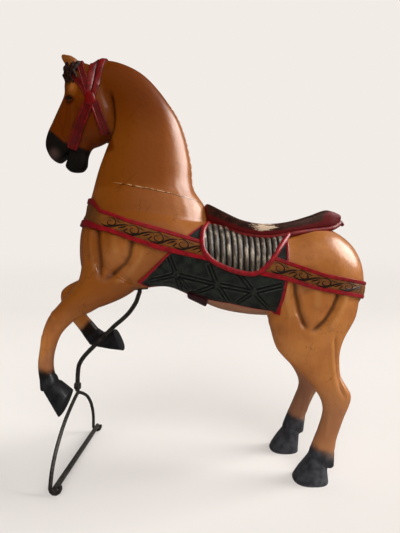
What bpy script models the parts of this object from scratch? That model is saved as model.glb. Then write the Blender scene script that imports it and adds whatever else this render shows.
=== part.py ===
"""A rearing carousel horse of carved, painted wood, propped by a wrought-iron rod with a stirrup-shaped foot.

The horse faces -X, its left side is -Y, and +Z is up. Station tables are in millimetres, everything else in metres.
A station is (front x, front z, back x, back z, width, y): the two ends of one cut through a limb, its width across
and how far its middle lies off the centre plane.
"""

import math

import bmesh
import bpy
from mathutils import Matrix, Vector
from mathutils.bvhtree import BVHTree

MM = 0.001

# --- the carved figure -------------------------------------------------------------------------------------------
VOXEL = 0.0065  # grid of the soft carving before it is thinned out
SMOOTHING = 6  # passes that blend the limbs into the trunk
BODY_TRIANGLES = 4600  # the soft form before the tack and feet are added
HORSE_TRIANGLES = 8700  # the finished figure
BLANKET_RISE = 0.0035  # each layer of tack stands this far off the body
BAND_RISE = 0.0065
FLAP_RISE = 0.0060
FLUTE_RADIUS = 0.0072
FLUTE_COUNT = 13
PIPING_RADIUS = 0.0055
WELD = 0.0001
HALF_SPAN = 0.30  # cutters reach this far to each side

TRUNK = [
    (-362, 600, -362, 660, 70, 0),
    (-353, 550, -353, 716, 146, 0),
    (-326, 522, -326, 752, 208, 0),
    (-270, 508, -270, 774, 248, 0),
    (-190, 516, -190, 776, 268, 0),
    (-110, 522, -110, 760, 276, 0),
    (-40, 494, -40, 730, 280, 0),
    (40, 458, 40, 700, 284, 0),
    (130, 441, 130, 682, 284, 0),
    (220, 438, 220, 686, 282, 0),
    (300, 444, 300, 700, 284, 0),
    (360, 448, 360, 694, 274, 0),
    (410, 452, 410, 664, 234, 0),
    (440, 462, 440, 626, 176, 0),
    (458, 492, 458, 578, 90, 0),
]
NECK = [
    (-348, 670, 16, 706, 236, 0),
    (-348, 742, 2, 760, 206, 0),
    (-334, 806, -34, 816, 172, 0),
    (-317, 872, -41, 880, 150, 0),
    (-298, 926, -52, 938, 134, 0),
    (-287, 958, -65, 985, 122, 0),
    (-287, 985, -86, 1036, 114, 0),
    (-292, 1012, -134, 1108, 104, 0),
    (-298, 1046, -190, 1164, 96, 0),
    (-318, 1070, -258, 1196, 90, 0),
    (-345, 1085, -318, 1204, 84, 0),
]
HEAD = [
    (-386, 1192, -306, 1166, 80, 0),
    (-410, 1166, -288, 1112, 102, 0),
    (-420, 1124, -276, 1070, 114, 0),
    (-420, 1092, -270, 1022, 116, 0),
    (-442, 1044, -280, 975, 104, 0),
    (-457, 1012, -312, 950, 90, 0),
    (-470, 985, -360, 936, 76, 0),
    (-478, 958, -392, 925, 66, 0),
    (-477, 938, -412, 910, 62, 0),
    (-466, 915, -430, 896, 54, 0),
    (-456, 902, -440, 893, 34, 0),
]
JAW = [
    (-400, 962, -338, 944, 66, 0),
    (-404, 930, -350, 916, 58, 0),
    (-413, 902, -352, 893, 54, 0),
    (-421, 885, -353, 881, 50, 0),
    (-404, 866, -366, 866, 36, 0),
]
# The open mouth, cut from side to side between the upper lip and the jaw.
MOUTH = [(-401, 927), (-411, 920), (-426, 905), (-437, 895), (-450, 868), (-425, 858), (-414, 886), (-402, 913)]
NEAR_FORELEG = [
    (-345, 606, -180, 500, 96, -70),
    (-352, 548, -240, 496, 92, -76),
    (-366, 528, -280, 475, 84, -82),
    (-385, 502, -321, 452, 76, -85),
    (-407, 475, -350, 440, 66, -86),
    (-432, 444, -377, 418, 58, -87),
    (-448, 406, -399, 393, 50, -87),
    (-456, 366, -413, 360, 44, -86),
    (-462, 322, -421, 320, 43, -86),
    (-461, 288, -418, 286, 46, -86),
    (-457, 266, -411, 272, 50, -85),
    (-451, 246, -412, 262, 50, -85),
]
FAR_FORELEG = [
    (-345, 606, -180, 500, 96, 70),
    (-368, 562, -250, 485, 90, 78),
    (-404, 541, -318, 458, 80, 84),
    (-438, 524, -362, 446, 72, 86),
    (-460, 500, -384, 444, 64, 86),
    (-453, 457, -390, 448, 56, 86),
    (-425, 412, -382, 434, 47, 86),
    (-400, 381, -360, 409, 44, 86),
    (-381, 353, -340, 386, 48, 86),
    (-370, 340, -330, 376, 50, 86),
]
HIND_LEG = [
    (205, 535, 438, 525, 132, 68),
    (178, 440, 424, 448, 124, 74),
    (182, 410, 405, 412, 116, 78),
    (190, 378, 386, 381, 106, 82),
    (203, 347, 374, 347, 96, 85),
    (233, 314, 371, 314, 84, 88),
    (270, 280, 373, 280, 70, 92),
    (296, 250, 389, 252, 60, 95),
    (315, 220, 401, 228, 54, 96),
    (322, 196, 394, 199, 49, 96),
    (321, 175, 383, 175, 46, 96),
    (312, 146, 372, 146, 45, 96),
    (299, 112, 360, 112, 47, 96),
    (291, 92, 356, 90, 50, 96),
    (284, 74, 352, 72, 54, 96),
    (284, 54, 344, 50, 54, 96),
]
# How far the far hind leg lies behind the near one at each height: its thigh further back, its foot further forward.
FAR_HIND_LAG = [
    (600, 8), (440, 20), (400, 26), (347, 18), (314, 3), (250, -6), (216, -14), (170, -29), (112, -33), (0, -34),
]

# Cuff and hoof of each foot: crisp cuts from the fetlock down; the last one is the sole.
NEAR_HIND_HOOF = [
    [(301, 96, 352, 92, 42, 96), (280, 60, 350, 40, 64, 96)],
    [(284, 66, 336, 56, 54, 96), (275, 52, 331, 30, 70, 96), (257, 29, 332, 14, 84, 96), (240, 0, 333, 0, 92, 96)],
]
FAR_HIND_HOOF = [
    [(272, 112, 327, 106, 42, 96), (257, 76, 317, 60, 62, 96)],
    [(261, 80, 309, 68, 54, 96), (254, 66, 302, 50, 68, 96), (233, 40, 300, 28, 80, 96), (210, 0, 298, 0, 92, 96)],
]
NEAR_FORE_HOOF = [
    [(-456, 290, -422, 288, 34, -86), (-453, 241, -409, 263, 58, -85)],
    [(-450, 250, -412, 266, 48, -85), (-443, 236, -402, 262, 62, -85), (-400, 168, -372, 237, 80, -85)],
]
FAR_FORE_HOOF = [
    [(-386, 368, -355, 391, 34, 86), (-365, 335, -323, 373, 58, 86)],
    [(-372, 348, -335, 374, 48, 86), (-352, 330, -316, 374, 62, 86), (-258, 316, -288, 382, 84, 86)],
]
EAR = [
    (-408, 1150, -370, 1176, 34, 30),
    (-408, 1170, -380, 1190, 29, 31),
    (-416, 1190, -398, 1199, 17, 32),
    (-421, 1203, -415, 1205, 4, 32),
]
# Locks of the forelock: x, y, z, radius.
FORELOCK = [
    (-388, 15, 1176, 24), (-389, -17, 1174, 23), (-406, 13, 1161, 17), (-405, -13, 1158, 16.5),
    (-409, 1, 1146, 18), (-410, -12, 1139, 12.5), (-411, 9, 1135, 12.5),
]
LOCK_TURN = math.radians(17)  # turns the lumps so that their facets don't line up
SADDLE = [
    (0, 714, -3, 756, 56, 0),
    (8, 702, 9, 767, 90, 0),
    (50, 683, 48, 745, 150, 0),
    (100, 664, 100, 717, 192, 0),
    (150, 655, 150, 705, 206, 0),
    (200, 657, 200, 705, 204, 0),
    (250, 667, 250, 714, 186, 0),
    (300, 675, 300, 730, 158, 0),
    (345, 681, 343, 746, 136, 0),
    (364, 686, 368, 744, 122, 0),
    (386, 699, 396, 733, 92, 0),
    (397, 710, 406, 726, 54, 0),
]
MANE = [(-30, 812), (-41, 872), (-52, 935), (-66, 985), (-87, 1034), (-111, 1072)]
MANE_STEPS = 7  # notches of the clipped mane along the crest
MANE_WIDTH, MANE_DEPTH = 14, 20
MANE_RISE, MANE_NOTCH = 5, 1

# Tack outlines seen from the side.
BAND_TOP = [
    (-420, 800), (-322, 777), (-289, 738), (-210, 708), (-125, 684), (-9, 648), (188, 604), (315, 562), (500, 528),
]
BAND_LOW = [
    (500, 482), (315, 513), (217, 542), (139, 558), (1, 596), (-125, 625), (-188, 646), (-254, 671), (-420, 712),
]
BLANKET = [
    (-6, 706), (-184, 541), (-166, 490), (-80, 490), (-42, 492), (68, 478), (156, 457), (205, 440), (218, 534),
    (229, 672),
]
FLAP = [
    (8, 690), (-7, 666), (-3, 624), (22, 595), (62, 575), (109, 563), (138, 566), (171, 592), (200, 629), (229, 664),
]
FLAP_TOP = [(170, 690), (90, 690)]
FLUTE_FIRST, FLUTE_LAST, FLUTE_TOP = 14, 206, 676  # x of the outer flutes, and how high they all reach
FLUTE_MIDDLE, FLUTE_LEAN, FLUTE_INSET = 110, 0.10, 9  # they fan out from the middle, and end inside the piping
FLUTE_OUT, PIPING_OUT = 0.0045, 0.0060  # how far their middles lie off the skin
GIRTH = [(-52, 380), (-52, 512), (4, 500), (4, 380)]
# Bridle straps as (rise in mm, outline); where they cross, each lies a little higher than the one before.
STRAPS = [
    (3.2, [(-438, 1154), (-438, 1169), (-362, 1139), (-334, 1080), (-347, 1072), (-374, 1126)]),
    (3.7, [(-341, 1078), (-321, 1073), (-353, 1182), (-371, 1177)]),
    (4.2, [(-343, 1053), (-320, 1047), (-376, 918), (-404, 931)]),
    (4.7, [(-325, 1057), (-303, 1063), (-280, 976), (-306, 966)]),
    (5.2, [(-346, 1070), (-315, 1067), (-282, 1230), (-334, 1231)]),
]
ROSETTE = (-330, 1064, 15, 21)  # x, z, half width, half height
ROSETTE_DEPTH, ROSETTE_OUT = 0.012, 0.003
ROSETTE_TAPER = 0.7
EYE = (-392, 1068, 44)
EYE_RADIUS = 11

# Carved hollows of the muscles and, with a depth below nothing, ridges: half width, depth, points (x, z).
CARVING = [
    (20, 6.5, [(-289, 668), (-283, 602), (-277, 534)]),
    (20, 6.5, [(-197, 648), (-207, 616), (-229, 584), (-260, 556), (-284, 530)]),
    (20, 7.5, [(242, 530), (249, 474), (262, 430), (272, 402)]),
    (20, 7.5, [(352, 506), (337, 474), (313, 447), (291, 425), (268, 402)]),
    (9, 6, [(-277, 1094), (-268, 1040), (-270, 987), (-290, 956)]),
    (9, 4, [(372, 318), (384, 240)]),
    (9, -3, [(-396, 1054), (-424, 1000)]),
]
NOSTRIL = (-460, 956, 24, 12, 6)  # x, z, y, radius, depth

# --- the iron stand -----------------------------------------------------------------------------------------------
GAP = 0.0003
ROD_RADIUS = 0.0066
ROD_SIDES = 10
ROD = [
    (-195, 1, 506), (-199, 3, 496), (-206, 5, 476), (-218, 8, 457), (-231, 10, 440), (-251, 12, 421), (-274, 14, 402),
    (-308, 16, 368), (-344, 18, 333), (-365, 19, 311), (-379, 20, 290), (-384, 20, 272), (-386, 20, 240),
    (-386, 20, 205),
]
TAB_LENGTH, TAB_WIDTH, TAB_THICK = 0.036, 0.024, 0.006
TAB_X = -0.1890
TAB_SINK = 0.002  # how far the tab is let into the belly
TAB_TILT = math.radians(-4)
COLLAR_TOP, COLLAR_LOW = 0.230, 0.211
COLLAR_RADIUS = 0.0105
COLLAR_SIDES = 16
COLLAR_SPOT = (-0.3860, 0.0200)
COLLAR_CHAMFER, COLLAR_SHOULDER = 0.002, 0.003
FORK_RADIUS = 0.0052
FORK_SIDES = 8
FORK_X = -0.3855  # the fork leans from here at its top to the outer side of the bar
FORK_MIDDLE = 0.0220
FORK_ARM = [(0, 199), (14, 196), (34, 189), (66, 176), (110, 154), (150, 124), (180, 91), (199, 56), (205, 18.3)]
HOOK_INSET = 0.008
HOOK_STEPS = 6
HOOK_TURN = math.radians(205)
CREASE = math.radians(35)  # the round bars are shaded smooth between edges sharper than this
BAR_RADIUS = 0.0075
BAR_SIDES = 12
BAR_X = -0.3800
BAR_Z = BAR_RADIUS + 2 * FORK_RADIUS + GAP
BAR_NEAR, BAR_FAR = -0.188, 0.238


def blank(name):
    """An empty mesh object, linked to the part's collection."""
    obj = bpy.data.objects.new(name, bpy.data.meshes.new(name))
    PART.objects.link(obj)
    return obj


def keep(obj, bm):
    """Write a bmesh into its object and free it."""
    bmesh.ops.recalc_face_normals(bm, faces=bm.faces)
    bm.to_mesh(obj.data)
    bm.free()
    return obj


def between(rows, cuts):
    """Catmull-Rom stations through the table, with this many cuts from one row to the next."""
    out = []
    for i in range(len(rows) - 1):
        p0, p1, p2, p3 = rows[max(i - 1, 0)], rows[i], rows[i + 1], rows[min(i + 2, len(rows) - 1)]
        for k in range(cuts):
            t = k / cuts
            out.append([
                0.5 * (2 * b + (c - a) * t + (2 * a - 5 * b + 4 * c - d) * t * t + (3 * b - a - 3 * c + d) * t ** 3)
                for a, b, c, d in zip(p0, p1, p2, p3)
            ])
    out.append(list(rows[-1]))
    return out


def section(station, sides, power):
    """One closed cut: a superellipse from the front point to the back point."""
    x0, z0, x1, z1, width, y = (v * MM for v in station)
    ring = []
    for k in range(sides):
        a = 2 * math.pi * (k + 0.5) / sides
        c, s = math.cos(a), math.sin(a)
        u = 0.5 + 0.5 * math.copysign(abs(c) ** (2 / power), c)
        v = 0.5 * width * math.copysign(abs(s) ** (2 / power), s)
        ring.append((x0 + (x1 - x0) * u, y + v, z0 + (z1 - z0) * u))
    return ring


def loft(name, rows, sides=16, power=2.2, cuts=3, mirror=False):
    """A closed body through the stations; mirror turns it to the other side of the horse."""
    bm = bmesh.new()
    rings = []
    for station in (between(rows, cuts) if cuts > 1 else rows):
        points = section(station, sides, power)
        rings.append([bm.verts.new((x, -y if mirror else y, z)) for x, y, z in points])
    for low, high in zip(rings, rings[1:]):
        for k in range(sides):
            n = (k + 1) % sides
            bm.faces.new((low[k], low[n], high[n], high[k]))
    bm.faces.new(rings[0])
    bm.faces.new(rings[-1])
    return keep(blank(name), bm)


def lagged(rows, lags):
    """Stations moved along X by a reach read from a height table."""
    out = []
    for x0, z0, x1, z1, width, y in rows:
        z = (z0 + z1) / 2
        for (high, far), (low, near) in zip(lags, lags[1:]):
            if low <= z <= high:
                reach = near + (far - near) * (z - low) / (high - low)
        out.append((x0 + reach, z0, x1 + reach, z1, width, y))
    return out


def run(obj, modifier):
    """Apply one modifier for good."""
    bpy.context.view_layer.objects.active = obj
    with bpy.context.temp_override(object=obj, active_object=obj, selected_objects=[obj]):
        bpy.ops.object.modifier_apply(modifier=modifier.name)


def join(target, others):
    """Put the other meshes into the target's mesh."""
    with bpy.context.temp_override(
        active_object=target, object=target,
        selected_objects=[target, *others], selected_editable_objects=[target, *others],
    ):
        bpy.ops.object.join()
    return target


def combine(target, other, operation):
    """An exact Boolean that uses the other object up."""
    modifier = target.modifiers.new(operation, "BOOLEAN")
    modifier.operation, modifier.solver, modifier.object = operation, "EXACT", other
    run(target, modifier)
    bpy.data.objects.remove(other)
    return target


def prism(name, outline, low=-HALF_SPAN, high=HALF_SPAN):
    """A side outline drawn across the horse."""
    bm = bmesh.new()
    ring = [bm.verts.new((x * MM, low, z * MM)) for x, z in outline]
    face = bm.faces.new(ring)
    grown = bmesh.ops.extrude_face_region(bm, geom=[face])["geom"]
    lifted = [v for v in grown if isinstance(v, bmesh.types.BMVert)]
    bmesh.ops.translate(bm, verts=lifted, vec=(0, high - low, 0))
    return keep(blank(name), bm)


def to_line(x, z, line):
    """Distance from a side point to a broken line."""
    nearest = math.inf
    for (x0, z0), (x1, z1) in zip(line, line[1:]):
        dx, dz = x1 - x0, z1 - z0
        t = min(max(((x - x0) * dx + (z - z0) * dz) / (dx * dx + dz * dz), 0), 1)
        nearest = min(nearest, math.hypot(x - x0 - dx * t, z - z0 - dz * t))
    return nearest


def swell(distance, half):
    """One at the middle of a stroke, falling smoothly to nothing at its edge."""
    return 0.0 if distance >= half else 0.5 + 0.5 * math.cos(math.pi * distance / half)


def carve(obj):
    """Cut the muscle hollows and the nostrils and raise the cheek bones; the deepest stroke wins where two meet."""
    bm = bmesh.new()
    bm.from_mesh(obj.data)
    bm.normal_update()
    moves = []
    for v in bm.verts:
        x, y, z = (c / MM for c in v.co)
        side = abs(v.normal.y) ** 0.5
        depth = 0.0
        for half, cut, line in CARVING:
            depth = max(depth, -cut * side * swell(to_line(x, z, line), half), key=abs)
        nx, nz, ny, radius, sink = NOSTRIL
        depth -= sink * swell(math.dist((x, abs(y), z), (nx, ny, nz)), radius)
        moves.append(v.normal * depth * MM)
    for v, move in zip(bm.verts, moves):
        v.co += move
    return keep(obj, bm)


def inflated(source, rise):
    """A copy of the body whose surface stands further out."""
    copy = source.copy()
    copy.data = source.data.copy()
    PART.objects.link(copy)
    bm = bmesh.new()
    bm.from_mesh(copy.data)
    bm.normal_update()
    for v, normal in [(v, v.normal.copy()) for v in bm.verts]:
        v.co += normal * rise
    return keep(copy, bm)


def layer(body, source, outline, rise, low=-HALF_SPAN, high=HALF_SPAN):
    """Raise the body inside a side outline."""
    raised = combine(inflated(source, rise), prism("cut", outline, low, high), "INTERSECT")
    return combine(body, raised, "UNION")


def skin_y(tree, x, z, side):
    """Where the carved surface lies beside the point (x, z), in millimetres, on one side."""
    hit = tree.ray_cast(Vector((x * MM, side * HALF_SPAN, z * MM)), Vector((0, -side, 0)))[0]
    return hit.y


def tube(name, points, radius, sides, closed=False):
    """A round bar bent through the points, as a welded mesh."""
    curve = bpy.data.curves.new(name, "CURVE")
    curve.dimensions = "3D"
    curve.bevel_depth = radius
    curve.bevel_resolution = max(sides // 4 - 1, 0)
    curve.use_fill_caps = True
    spline = curve.splines.new("POLY")
    spline.points.add(len(points) - 1)
    for point, co in zip(spline.points, points):
        point.co = (*co, 1)
    spline.use_cyclic_u = closed
    bent = bpy.data.objects.new(name + "_line", curve)
    PART.objects.link(bent)
    mesh = bpy.data.meshes.new_from_object(bent.evaluated_get(bpy.context.evaluated_depsgraph_get()))
    bpy.data.objects.remove(bent)
    obj = bpy.data.objects.new(name, mesh)
    PART.objects.link(obj)
    bm = bmesh.new()
    bm.from_mesh(mesh)
    bmesh.ops.remove_doubles(bm, verts=bm.verts, dist=0.00002)
    return keep(obj, bm)


def floor_of(outline, x):
    """The lowest height of a side outline at x."""
    heights = []
    for (x0, z0), (x1, z1) in zip(outline, outline[1:]):
        if min(x0, x1) <= x <= max(x0, x1) and x0 != x1:
            heights.append(z0 + (z1 - z0) * (x - x0) / (x1 - x0))
    return min(heights)


def soft_body():
    """Trunk, neck, head and limbs blended into one carved form."""
    parts = [
        loft("trunk", TRUNK, 24),
        loft("neck", NECK, 20),
        loft("head", HEAD, 20, 2.5),
        loft("jaw", JAW, 14, 2.5),
        loft("near_fore", NEAR_FORELEG),
        loft("far_fore", FAR_FORELEG),
        loft("near_hind", HIND_LEG, mirror=True),
        loft("far_hind", lagged(HIND_LEG, FAR_HIND_LAG)),
    ]
    body = join(parts[0], parts[1:])
    remesh = body.modifiers.new("blend", "REMESH")
    remesh.mode, remesh.voxel_size = "VOXEL", VOXEL
    run(body, remesh)
    smooth = body.modifiers.new("soften", "SMOOTH")
    smooth.factor, smooth.iterations = 0.5, SMOOTHING
    run(body, smooth)
    carve(body)
    thin_to(body, BODY_TRIANGLES)
    return combine(body, prism("mouth", MOUTH), "DIFFERENCE")


def add_crisp(body):
    """Hooves, cuffs, ears, forelock, mane and eyes."""
    sets = [
        (NEAR_HIND_HOOF, True),
        (FAR_HIND_HOOF, False),
        (NEAR_FORE_HOOF, False),
        (FAR_FORE_HOOF, False),
    ]
    for pair, mirror in sets:
        for rows in pair:
            combine(body, loft("foot", rows, 16, 2.5, 1, mirror), "UNION")
    for mirror in (False, True):
        combine(body, loft("ear", EAR, 8, 2.2, 1, mirror), "UNION")
    combine(body, loft("mane", mane_rows(), 6, 2, 1), "UNION")
    for x, y, z, radius in FORELOCK:
        combine(body, ball("lock", radius, (x, y, z), 1, LOCK_TURN * y), "UNION")
    x, z, y = EYE
    for side in (-1, 1):
        combine(body, ball("eye", EYE_RADIUS, (x, side * y, z), 2), "UNION")
    return body


def ball(name, radius, spot, divisions, turn=0.0):
    """A small round lump, sized and placed in millimetres, turned about its own diagonal."""
    bm = bmesh.new()
    bmesh.ops.create_icosphere(bm, subdivisions=divisions, radius=radius * MM)
    bmesh.ops.rotate(bm, verts=bm.verts, matrix=Matrix.Rotation(turn, 3, (1, 1, 1)))
    bmesh.ops.translate(bm, verts=bm.verts, vec=[v * MM for v in spot])
    return keep(blank(name), bm)


def mane_rows():
    """The clipped mane: a narrow comb along the crest, stepped by a row of low bumps."""
    rows = []
    steps = 2 * MANE_STEPS
    spine = between([(x, z, 0, 0, 0, 0) for x, z in MANE], steps)
    for k in range(steps + 1):
        here = spine[round(k * (len(spine) - 1) / steps)]
        ahead = spine[min(round(k * (len(spine) - 1) / steps) + 1, len(spine) - 1)]
        back = spine[max(round(k * (len(spine) - 1) / steps) - 1, 0)]
        along = Vector((ahead[0] - back[0], ahead[1] - back[1])).normalized()
        out = Vector((along.y, -along.x))
        rise = MANE_RISE if k % 2 else MANE_NOTCH
        tip, root = Vector(here[:2]) + out * rise, Vector(here[:2]) - out * MANE_DEPTH
        rows.append((root.x, root.y, tip.x, tip.y, MANE_WIDTH, 0))
    return rows


def add_tack(body, plain):
    """Blanket, girth, bands, bridle, saddle and the fluted flaps, each a raised layer."""
    layer(body, plain, BLANKET, BLANKET_RISE)
    layer(body, plain, GIRTH, BAND_RISE)
    layer(body, plain, BAND_TOP + BAND_LOW, BAND_RISE)
    for rise, outline in STRAPS:
        layer(body, plain, outline, rise * MM)
    combine(body, loft("saddle", SADDLE, 16, 4, 2), "UNION")
    layer(body, plain, FLAP + FLAP_TOP, FLAP_RISE)
    tree = BVHTree.FromObject(plain, bpy.context.evaluated_depsgraph_get())
    for side in (-1, 1):
        add_flap(body, tree, side)
        add_rosette(body, tree, side)
    bpy.data.objects.remove(plain)
    return body


def add_flap(body, tree, side):
    """The rounded flutes of one saddle flap, and the piping round it."""
    for k in range(FLUTE_COUNT):
        x = FLUTE_FIRST + (FLUTE_LAST - FLUTE_FIRST) * k / (FLUTE_COUNT - 1)
        foot = floor_of(FLAP, x) + FLUTE_INSET
        points = []
        for share in (0.0, 0.34, 0.67, 1.0):
            z = foot + (FLUTE_TOP - foot) * share
            along = x + (x - FLUTE_MIDDLE) * FLUTE_LEAN * (share - 0.5)
            points.append((along * MM, skin_y(tree, along, z, side) + side * FLUTE_OUT, z * MM))
        combine(body, tube("flute", points, FLUTE_RADIUS, 4), "UNION")
    edge = [(x * MM, skin_y(tree, x, z, side) + side * PIPING_OUT, z * MM) for x, z in FLAP]
    combine(body, tube("piping", edge, PIPING_RADIUS, 4), "UNION")


def add_rosette(body, tree, side):
    """The oval boss where the bridle straps meet."""
    x, z, half, tall = ROSETTE
    bm = bmesh.new()
    bmesh.ops.create_cone(
        bm, cap_ends=True, segments=12, radius1=half * MM, radius2=half * MM * ROSETTE_TAPER, depth=ROSETTE_DEPTH)
    bmesh.ops.rotate(bm, verts=bm.verts, matrix=turn_out(side))
    bmesh.ops.scale(bm, verts=bm.verts, vec=(1, 1, tall / half))
    spot = (x * MM, skin_y(tree, x, z, side) + side * ROSETTE_OUT, z * MM)
    bmesh.ops.translate(bm, verts=bm.verts, vec=spot)
    combine(body, keep(blank("rosette"), bm), "UNION")


def turn_out(side):
    """The turn that points a shape's +Z to one side of the horse."""
    return Vector((0, 0, 1)).rotation_difference(Vector((0, side, 0))).to_matrix()


def make_horse():
    """The whole carved figure as one solid."""
    body = soft_body()
    body.name = body.data.name = "horse"
    plain = inflated(body, 0)
    add_tack(body, plain)
    add_crisp(body)
    belly = belly_height(body)
    combine(body, tab("seat", belly, GAP), "DIFFERENCE")
    weld(body)
    thin_to(body, HORSE_TRIANGLES)
    return body, belly


def belly_height(body):
    """How high the underside of the belly is where the stand is fixed."""
    tree = BVHTree.FromObject(body, bpy.context.evaluated_depsgraph_get())
    return tree.ray_cast(Vector((TAB_X, 0, 0)), Vector((0, 0, 1)))[0].z


def weld(obj):
    """Merge the corners that Booleans leave a hair apart."""
    bm = bmesh.new()
    bm.from_mesh(obj.data)
    bmesh.ops.remove_doubles(bm, verts=bm.verts, dist=WELD)
    bmesh.ops.triangulate(bm, faces=bm.faces)
    keep(obj, bm)


def thin_to(obj, triangles):
    """Collapse the least needed edges until this many triangles are left."""
    thin = obj.modifiers.new("thin", "DECIMATE")
    thin.ratio = min(1.0, triangles / sum(len(p.vertices) - 2 for p in obj.data.polygons))
    thin.use_collapse_triangulate = True
    run(obj, thin)


def smooth_path(points, cuts):
    """A Catmull-Rom path through points in millimetres, in metres."""
    return [tuple(v * MM for v in p) for p in between(points, cuts)]


def fork_path():
    """The stirrup: up one arm, over the top and down the other, each end hooked round the foot bar."""
    arms = []
    reach = BAR_RADIUS + FORK_RADIUS + GAP
    for side, foot in ((-1, BAR_NEAR), (1, BAR_FAR)):
        scale = (abs(foot - FORK_MIDDLE) - HOOK_INSET) / (FORK_ARM[-1][0] * MM)
        arm = []
        for dy, z in between(FORK_ARM, 2):
            share = max(0.0, 1 - (z * MM - BAR_Z) / (FORK_ARM[0][1] * MM - BAR_Z))
            arm.append((FORK_X - (reach + FORK_X - BAR_X) * share, FORK_MIDDLE + side * dy * MM * scale, z * MM))
        for k in range(1, HOOK_STEPS + 1):
            turn = math.pi + HOOK_TURN * k / HOOK_STEPS
            arm.append((BAR_X + reach * math.cos(turn), arm[-1][1], BAR_Z + reach * math.sin(turn)))
        arms.append(arm)
    return arms[0][::-1] + arms[1][1:]


def revolved(name, profile, spot, steps):
    """A ring turned from a (radius, height) outline by a Screw."""
    bm = bmesh.new()
    verts = [bm.verts.new((r, 0, z)) for r, z in profile]
    for a, b in zip(verts, verts[1:] + verts[:1]):
        bm.edges.new((a, b))
    obj = blank(name)
    bm.to_mesh(obj.data)
    bm.free()
    screw = obj.modifiers.new("turn", "SCREW")
    screw.steps = screw.render_steps = steps
    screw.use_merge_vertices, screw.merge_threshold = True, 0.00001
    run(obj, screw)
    bm = bmesh.new()
    bm.from_mesh(obj.data)
    bmesh.ops.translate(bm, verts=bm.verts, vec=(*spot, 0))
    return keep(obj, bm)


def tab(name, belly, grow):
    """The flattened end of the rod that sits in the belly; grow makes the seat it is let into."""
    bm = bmesh.new()
    bmesh.ops.create_cube(bm, size=1)
    size = (TAB_LENGTH + 2 * grow, TAB_WIDTH + 2 * grow, TAB_THICK + 2 * grow)
    bmesh.ops.scale(bm, vec=size, verts=bm.verts)
    bmesh.ops.rotate(bm, matrix=Matrix.Rotation(TAB_TILT, 3, "Y"), verts=bm.verts)
    bmesh.ops.translate(bm, vec=(TAB_X, 0, belly + TAB_SINK - TAB_THICK / 2), verts=bm.verts)
    return keep(blank(name), bm)


def make_stand(belly):
    """The rod, collar, fork and foot bar."""
    path = smooth_path(ROD, 2)
    top = (path[0][0], path[0][1], belly - TAB_THICK / 2)
    rod = tube("prop_rod", [top, *path], ROD_RADIUS, ROD_SIDES)
    combine(rod, tab("tab", belly, 0), "UNION")
    bore, edge = ROD_RADIUS + GAP, COLLAR_RADIUS
    profile = [
        (bore, COLLAR_LOW), (edge - COLLAR_CHAMFER, COLLAR_LOW), (edge, COLLAR_LOW + COLLAR_SHOULDER),
        (edge, COLLAR_TOP - COLLAR_SHOULDER), (edge - COLLAR_CHAMFER, COLLAR_TOP), (bore, COLLAR_TOP),
    ]
    collar = revolved("prop_collar", profile, COLLAR_SPOT, COLLAR_SIDES)
    fork = tube("prop_fork", fork_path(), FORK_RADIUS, FORK_SIDES)
    bar = tube("foot_bar", [(BAR_X, BAR_NEAR, BAR_Z), (BAR_X, BAR_FAR, BAR_Z)], BAR_RADIUS, BAR_SIDES)
    stand = [rod, collar, fork, bar]
    for obj in stand:
        obj.data.shade_smooth()
        obj.data.set_sharp_from_angle(angle=CREASE)
    return stand


def paint(obj, name, colour, rough, metal):
    """Give a part its own Principled material."""
    material = bpy.data.materials.new(name)
    material.use_nodes = True
    shader = material.node_tree.nodes["Principled BSDF"]
    shader.inputs["Base Color"].default_value = (*colour, 1)
    shader.inputs["Roughness"].default_value = rough
    shader.inputs["Metallic"].default_value = metal
    material.diffuse_color = (*colour, 1)
    obj.data.materials.clear()
    obj.data.materials.append(material)


def centre(parts):
    """Move everything so that the origin is the bottom centre of the whole part's box."""
    corners = [v.co for obj in parts for v in obj.data.vertices]
    low = [min(c[i] for c in corners) for i in range(3)]
    high = [max(c[i] for c in corners) for i in range(3)]
    move = Vector((-(low[0] + high[0]) / 2, -(low[1] + high[1]) / 2, -low[2]))
    for obj in parts:
        for v in obj.data.vertices:
            v.co += move


def main():
    """Build the horse and its stand."""
    horse, belly = make_horse()
    stand = make_stand(belly)
    paint(horse, "painted_wood", (0.36, 0.15, 0.045), 0.35, 0.0)
    for obj in stand:
        paint(obj, obj.name + "_iron", (0.03, 0.03, 0.032), 0.55, 0.8)
    centre([horse, *stand])


for old in list(bpy.data.objects):
    bpy.data.objects.remove(old)
PART = bpy.data.collections.new("carousel_horse")
bpy.context.scene.collection.children.link(PART)
main()
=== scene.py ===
"""Looks of a rearing carousel horse in carved, varnished wood, with its wrought-iron prop.

The carver's drawing is in millimetres: X runs from the nose (-) to the tail (+), Y from the near side (-)
to the far side (+), Z up. A station is (front x, front z, back x, back z, width, y): the two ends of one
cut through a limb, its width across and how far its middle lies off the centre plane. Every piece is drawn
so and then set on the frame. A pair such as (170, -270) says where a change starts and where it is full.
"""

from __future__ import annotations

import logging
import math
from collections.abc import Callable, Iterable, Sequence
from dataclasses import dataclass
from enum import Enum
from functools import partial

import bmesh
import bpy
import numpy as np
from mathutils import Matrix, Vector
from mathutils.bvhtree import BVHTree


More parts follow.
